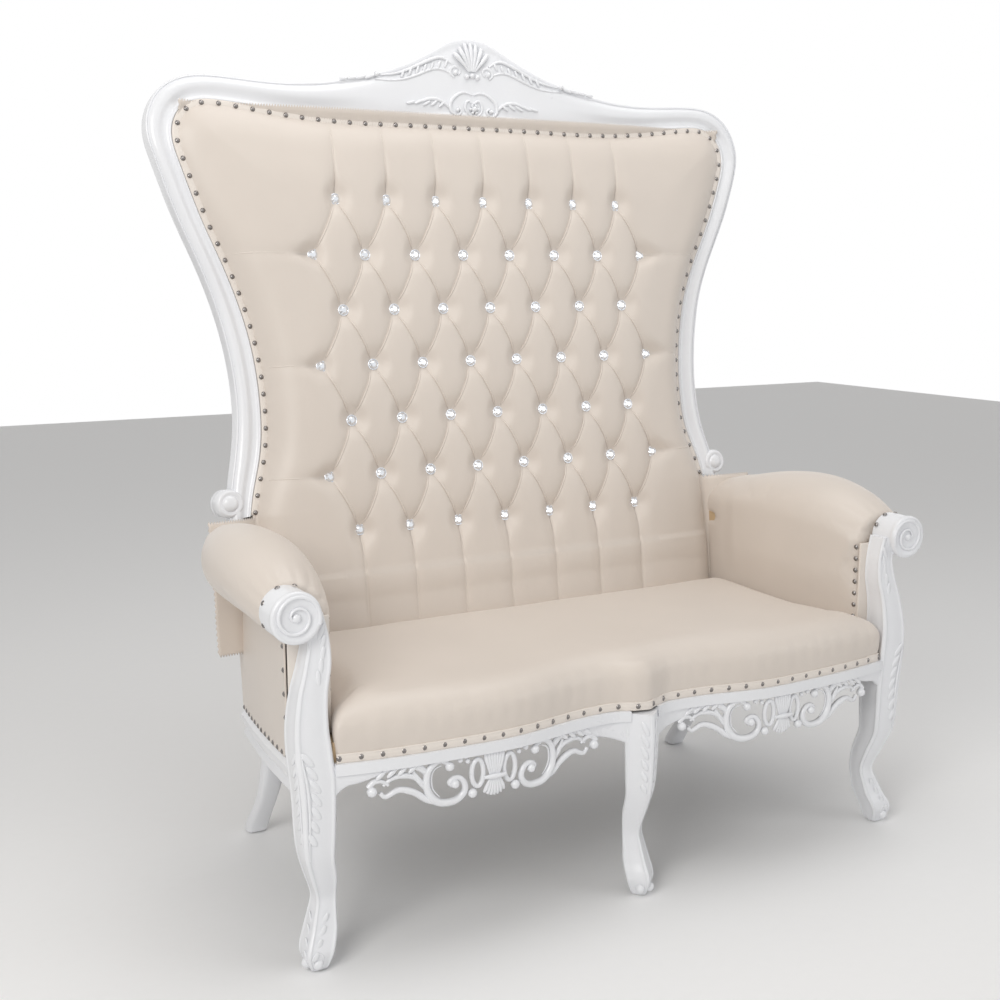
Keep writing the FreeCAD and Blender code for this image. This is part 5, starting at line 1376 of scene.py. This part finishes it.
for index in range(7):
    lean = (index - 3) / 3
    top = on_apron(SHELL_X + 0.020 * lean, 0.386 - 0.004 * lean * lean, 0.001)
    tie = on_apron(SHELL_X + 0.0085 * lean, 0.337, 0.003)
    foot = on_apron(SHELL_X + 0.0215 * lean, 0.2975 + 0.008 * lean * lean, 0.001)
    for end in (top, foot):
        path = [tie.lerp(end, k / 8) + Vector((0, -0.002 * math.sin(math.pi * k / 8), 0))
                for k in range(9)]
        apron_parts.append(tube(path, [(0, 0.0024), (0.8, 0.0046), (1, 0.0030)], 8))
band = [on_apron(SHELL_X + 0.024 * (k / 10 - 1), 0.337, 0.006 + 0.003 * math.sin(math.pi * k / 20))
        for k in range(21)]
apron_parts.append(tube(band, [(0, 0.0036), (0.5, 0.0055), (1, 0.0036)]))
apron_pair = add_pair("carved_apron_scrolls", joined(apron_parts), lacquer,
                      stands_for=("carved_apron",))
for piece in apron_pair:
    sharp_below(piece, 60)

# %% [markdown]
# Carving on the crown: a fluted shell at the very top, two leafy bands that run down from
# it, and a pierced cartouche of opposed C scrolls over the leather. It is low relief, two
# to four millimetres high, so thin ridges carry the drawing.

# %% Crest carving
crest_parts = []
FACE_DEEP = FRAME_SET - 0.0008


def on_crest(x, up, proud=0.0):
    return on_back(x, up, FACE_DEEP + bow(up) - proud)


def ridge(marks, radii, flat=0.75):
    path = smooth_line([on_crest(x, up) for x, up in marks], 7 * len(marks))
    crest_parts.append(tube(path, radii, 8, flat, back_out))


for index in range(7):
    lean = (index - 3) / 3
    foot_spot = on_crest(0.008 * lean, 1.268, 0.003)
    top_spot = on_crest(0.045 * lean, 1.334 - 0.024 * lean * lean, 0.002)
    path = [foot_spot.lerp(top_spot, k / 10) + back_out * (0.0035 * math.sin(math.pi * k / 10))
            for k in range(11)]
    crest_parts.append(tube(path, [(0, 0.0024), (0.75, 0.0062), (1, 0.0042)], 8, 0.8, back_out))
for x in (-0.014, 0.0, 0.014):
    crest_parts.append(ball(0.0062, on_crest(x, 1.258 - abs(x) * 0.2, 0.002)))
for flip in (-1, 1):
    ridge([(flip * 0.036, 1.259), (flip * 0.030, 1.268), (flip * 0.038, 1.277),
           (flip * 0.052, 1.274), (flip * 0.056, 1.262), (flip * 0.046, 1.253)],
          [(0, 0.0026), (0.5, 0.0044), (1, 0.0030)])
    crest_parts.append(ball(0.0060, on_crest(flip * 0.044, 1.263, 0.002)))
    ridge([(flip * 0.048, 1.282), (flip * 0.075, 1.296), (flip * 0.110, 1.288),
           (flip * 0.150, 1.270), (flip * 0.190, 1.254), (flip * 0.235, 1.246)],
          [(0, 0.0030), (0.4, 0.0046), (1, 0.0018)])
    ridge([(flip * 0.056, 1.262), (flip * 0.085, 1.270), (flip * 0.120, 1.262),
           (flip * 0.160, 1.246), (flip * 0.205, 1.236), (flip * 0.250, 1.236)],
          [(0, 0.0026), (0.4, 0.0040), (1, 0.0014)])
    for index in range(7):
        x = 0.066 + 0.019 * index
        middle = 1.284 - 0.0052 * index
        crest_parts.append(lobe(on_crest(flip * x, middle, 0.0012), 0.0115, 0.0034, 0.0026,
                                flip * math.radians(24), back_out))
    crest_parts.append(ball(0.0062, on_crest(flip * 0.246, 1.247, 0.002)))
    for index in range(4):
        crest_parts.append(lobe(on_crest(flip * (0.262 + 0.022 * index), 1.241 - 0.003 * index,
                                         0.001), 0.0150 - 0.0015 * index, 0.0042, 0.0026,
                                flip * math.radians(68 + 5 * index), back_out))
    ridge([(flip * 0.002, 1.214), (flip * 0.022, 1.219), (flip * 0.046, 1.210),
           (flip * 0.062, 1.190), (flip * 0.058, 1.170), (flip * 0.042, 1.165),
           (flip * 0.034, 1.176), (flip * 0.044, 1.184)],
          [(0, 0.0026), (0.5, 0.0050), (1, 0.0026)])
    crest_parts.append(ball(0.0052, on_crest(flip * 0.045, 1.176, 0.002)))
    ridge([(flip * 0.062, 1.180), (flip * 0.086, 1.196), (flip * 0.116, 1.199),
           (flip * 0.146, 1.189), (flip * 0.176, 1.187)],
          [(0, 0.0036), (0.4, 0.0048), (1, 0.0016)])
    for index in range(5):
        crest_parts.append(lobe(on_crest(flip * (0.084 + 0.020 * index),
                                         1.188 + 0.002 * (index % 2), 0.001), 0.0120, 0.0036,
                                0.0024, flip * math.radians(48 + 6 * index), back_out))
heart = [(0.0, 1.158), (0.018, 1.172), (0.022, 1.190), (0.012, 1.200), (0.0, 1.194),
         (-0.012, 1.200), (-0.022, 1.190), (-0.018, 1.172), (0.0, 1.158)]
ridge(heart, [(0, 0.0026), (0.5, 0.0034), (1, 0.0026)])
crest_parts.append(ball(0.0068, on_crest(0, 1.180, 0.003)))
for k in range(6):
    angle = math.tau * k / 6
    crest_parts.append(ball(0.0038, on_crest(0.0098 * math.cos(angle),
                                             1.180 + 0.0098 * math.sin(angle), 0.002)))
crest_carving = add_piece("crest_carving", joined(crest_parts), lacquer,
                          stands_for=["crest_shell", "crest_band_right", "crest_band_left",
                                      "crest_scroll_right", "crest_scroll_left",
                                      "crest_cartouche"])
sharp_below(crest_carving, 60)

# %% [markdown]
# Pieces whose CAD shape is already right keep it and only get their finish. Nodes are
# found by their slot: white lacquer for what shows, plain wood, steel and cloth inside.

# %% Finishes of the CAD's own pieces
FINISH_OF_SLOT = {
    "white_lacquered_wood": lacquer, "cream_leather": leather, "dark_steel": dark_nail,
    "crystal_button": plated_rim, "plain_wood": plain_wood, "black_cloth": black_cloth,
    "jute_webbing": jute, "nylon_glide": glide_plastic,
}
for part in frame["record"]["subparts"]:
    for material_slot in nodes[part["node"]].material_slots:
        material_slot.material = FINISH_OF_SLOT[part["material_slot"]]

# %% [markdown]
# The settee stands on a pale floor under large soft lamps, as in a studio. The world looks
# white to the camera and in reflections, through Light Path, so that the picture's white
# never adds light to the object. The floor is nearly white and keeps the soft shadow.

# %% Floor
floor_shape = bmesh.new()
bmesh.ops.create_grid(floor_shape, x_segments=1, y_segments=1, size=9.0)
floor_mesh = bpy.data.meshes.new("studio_floor")
floor_shape.to_mesh(floor_mesh)
floor_shape.free()
floor = bpy.data.objects.new("studio_floor", floor_mesh)
bpy.context.scene.collection.objects.link(floor)
floor_paint = bpy.data.materials.new("studio_floor_paint")
floor_paint.use_nodes = True
tree = floor_paint.node_tree
shader = tree.nodes["Principled BSDF"]
shader.inputs["Roughness"].default_value = 0.6
speckle = noise_node(tree, tree.nodes.new("ShaderNodeTexCoord").outputs["Object"], 40.0)
floor_tone = tree.nodes.new("ShaderNodeMix")
floor_tone.data_type = "RGBA"
floor_tone.inputs[6].default_value = (0.93, 0.93, 0.93, 1)
floor_tone.inputs[7].default_value = (0.95, 0.95, 0.95, 1)
tree.links.new(speckle, floor_tone.inputs["Factor"])
tree.links.new(floor_tone.outputs[2], shader.inputs["Base Color"])
floor_mesh.materials.append(floor_paint)
print("floor laid")

# %% World
world = bpy.data.worlds.new("studio")
bpy.context.scene.world = world
world.use_nodes = True
tree = world.node_tree
for node in list(tree.nodes):
    tree.nodes.remove(node)
dim = tree.nodes.new("ShaderNodeBackground")
dim.inputs["Color"].default_value = (1.0, 0.985, 0.97, 1)
dim.inputs["Strength"].default_value = 0.42
bright = tree.nodes.new("ShaderNodeBackground")
bright.inputs["Color"].default_value = (1, 1, 1, 1)
bright.inputs["Strength"].default_value = 1.0
path = tree.nodes.new("ShaderNodeLightPath")
seen = math_node(tree, "MAXIMUM", path.outputs["Is Camera Ray"], path.outputs["Is Glossy Ray"])
seen = math_node(tree, "MAXIMUM", seen, path.outputs["Is Transmission Ray"])
blend = tree.nodes.new("ShaderNodeMixShader")
tree.links.new(seen, blend.inputs["Fac"])
tree.links.new(dim.outputs[0], blend.inputs[1])
tree.links.new(bright.outputs[0], blend.inputs[2])
world_end = tree.nodes.new("ShaderNodeOutputWorld")
tree.links.new(blend.outputs[0], world_end.inputs["Surface"])
print("world set")


# %% Lamps
def soft_lamp(name, place, look_at, size, power, colour):
    lamp = bpy.data.lights.new(name, "AREA")
    lamp.shape = "RECTANGLE"
    lamp.size, lamp.size_y = size
    lamp.energy = power
    lamp.color = colour
    holder = bpy.data.objects.new(name, lamp)
    holder.location = place
    holder.rotation_euler = (Vector(look_at) - Vector(place)).to_track_quat("-Z", "Y").to_euler()
    bpy.context.scene.collection.objects.link(holder)
    return holder


soft_lamp("key_lamp", (-2.9, -2.2, 2.6), (0, 0, 0.9), (1.8, 1.8), 62, (1.0, 0.985, 0.96))
soft_lamp("fill_lamp", (2.6, -3.0, 1.8), (0, 0, 0.7), (2.4, 2.0), 16, (0.96, 0.98, 1.0))
soft_lamp("top_lamp", (0.2, -0.2, 3.4), (0, 0, 0.6), (2.4, 1.6), 26, (1.0, 0.99, 0.98))
bpy.context.scene.view_settings.view_transform = "Standard"
print("lamps set")
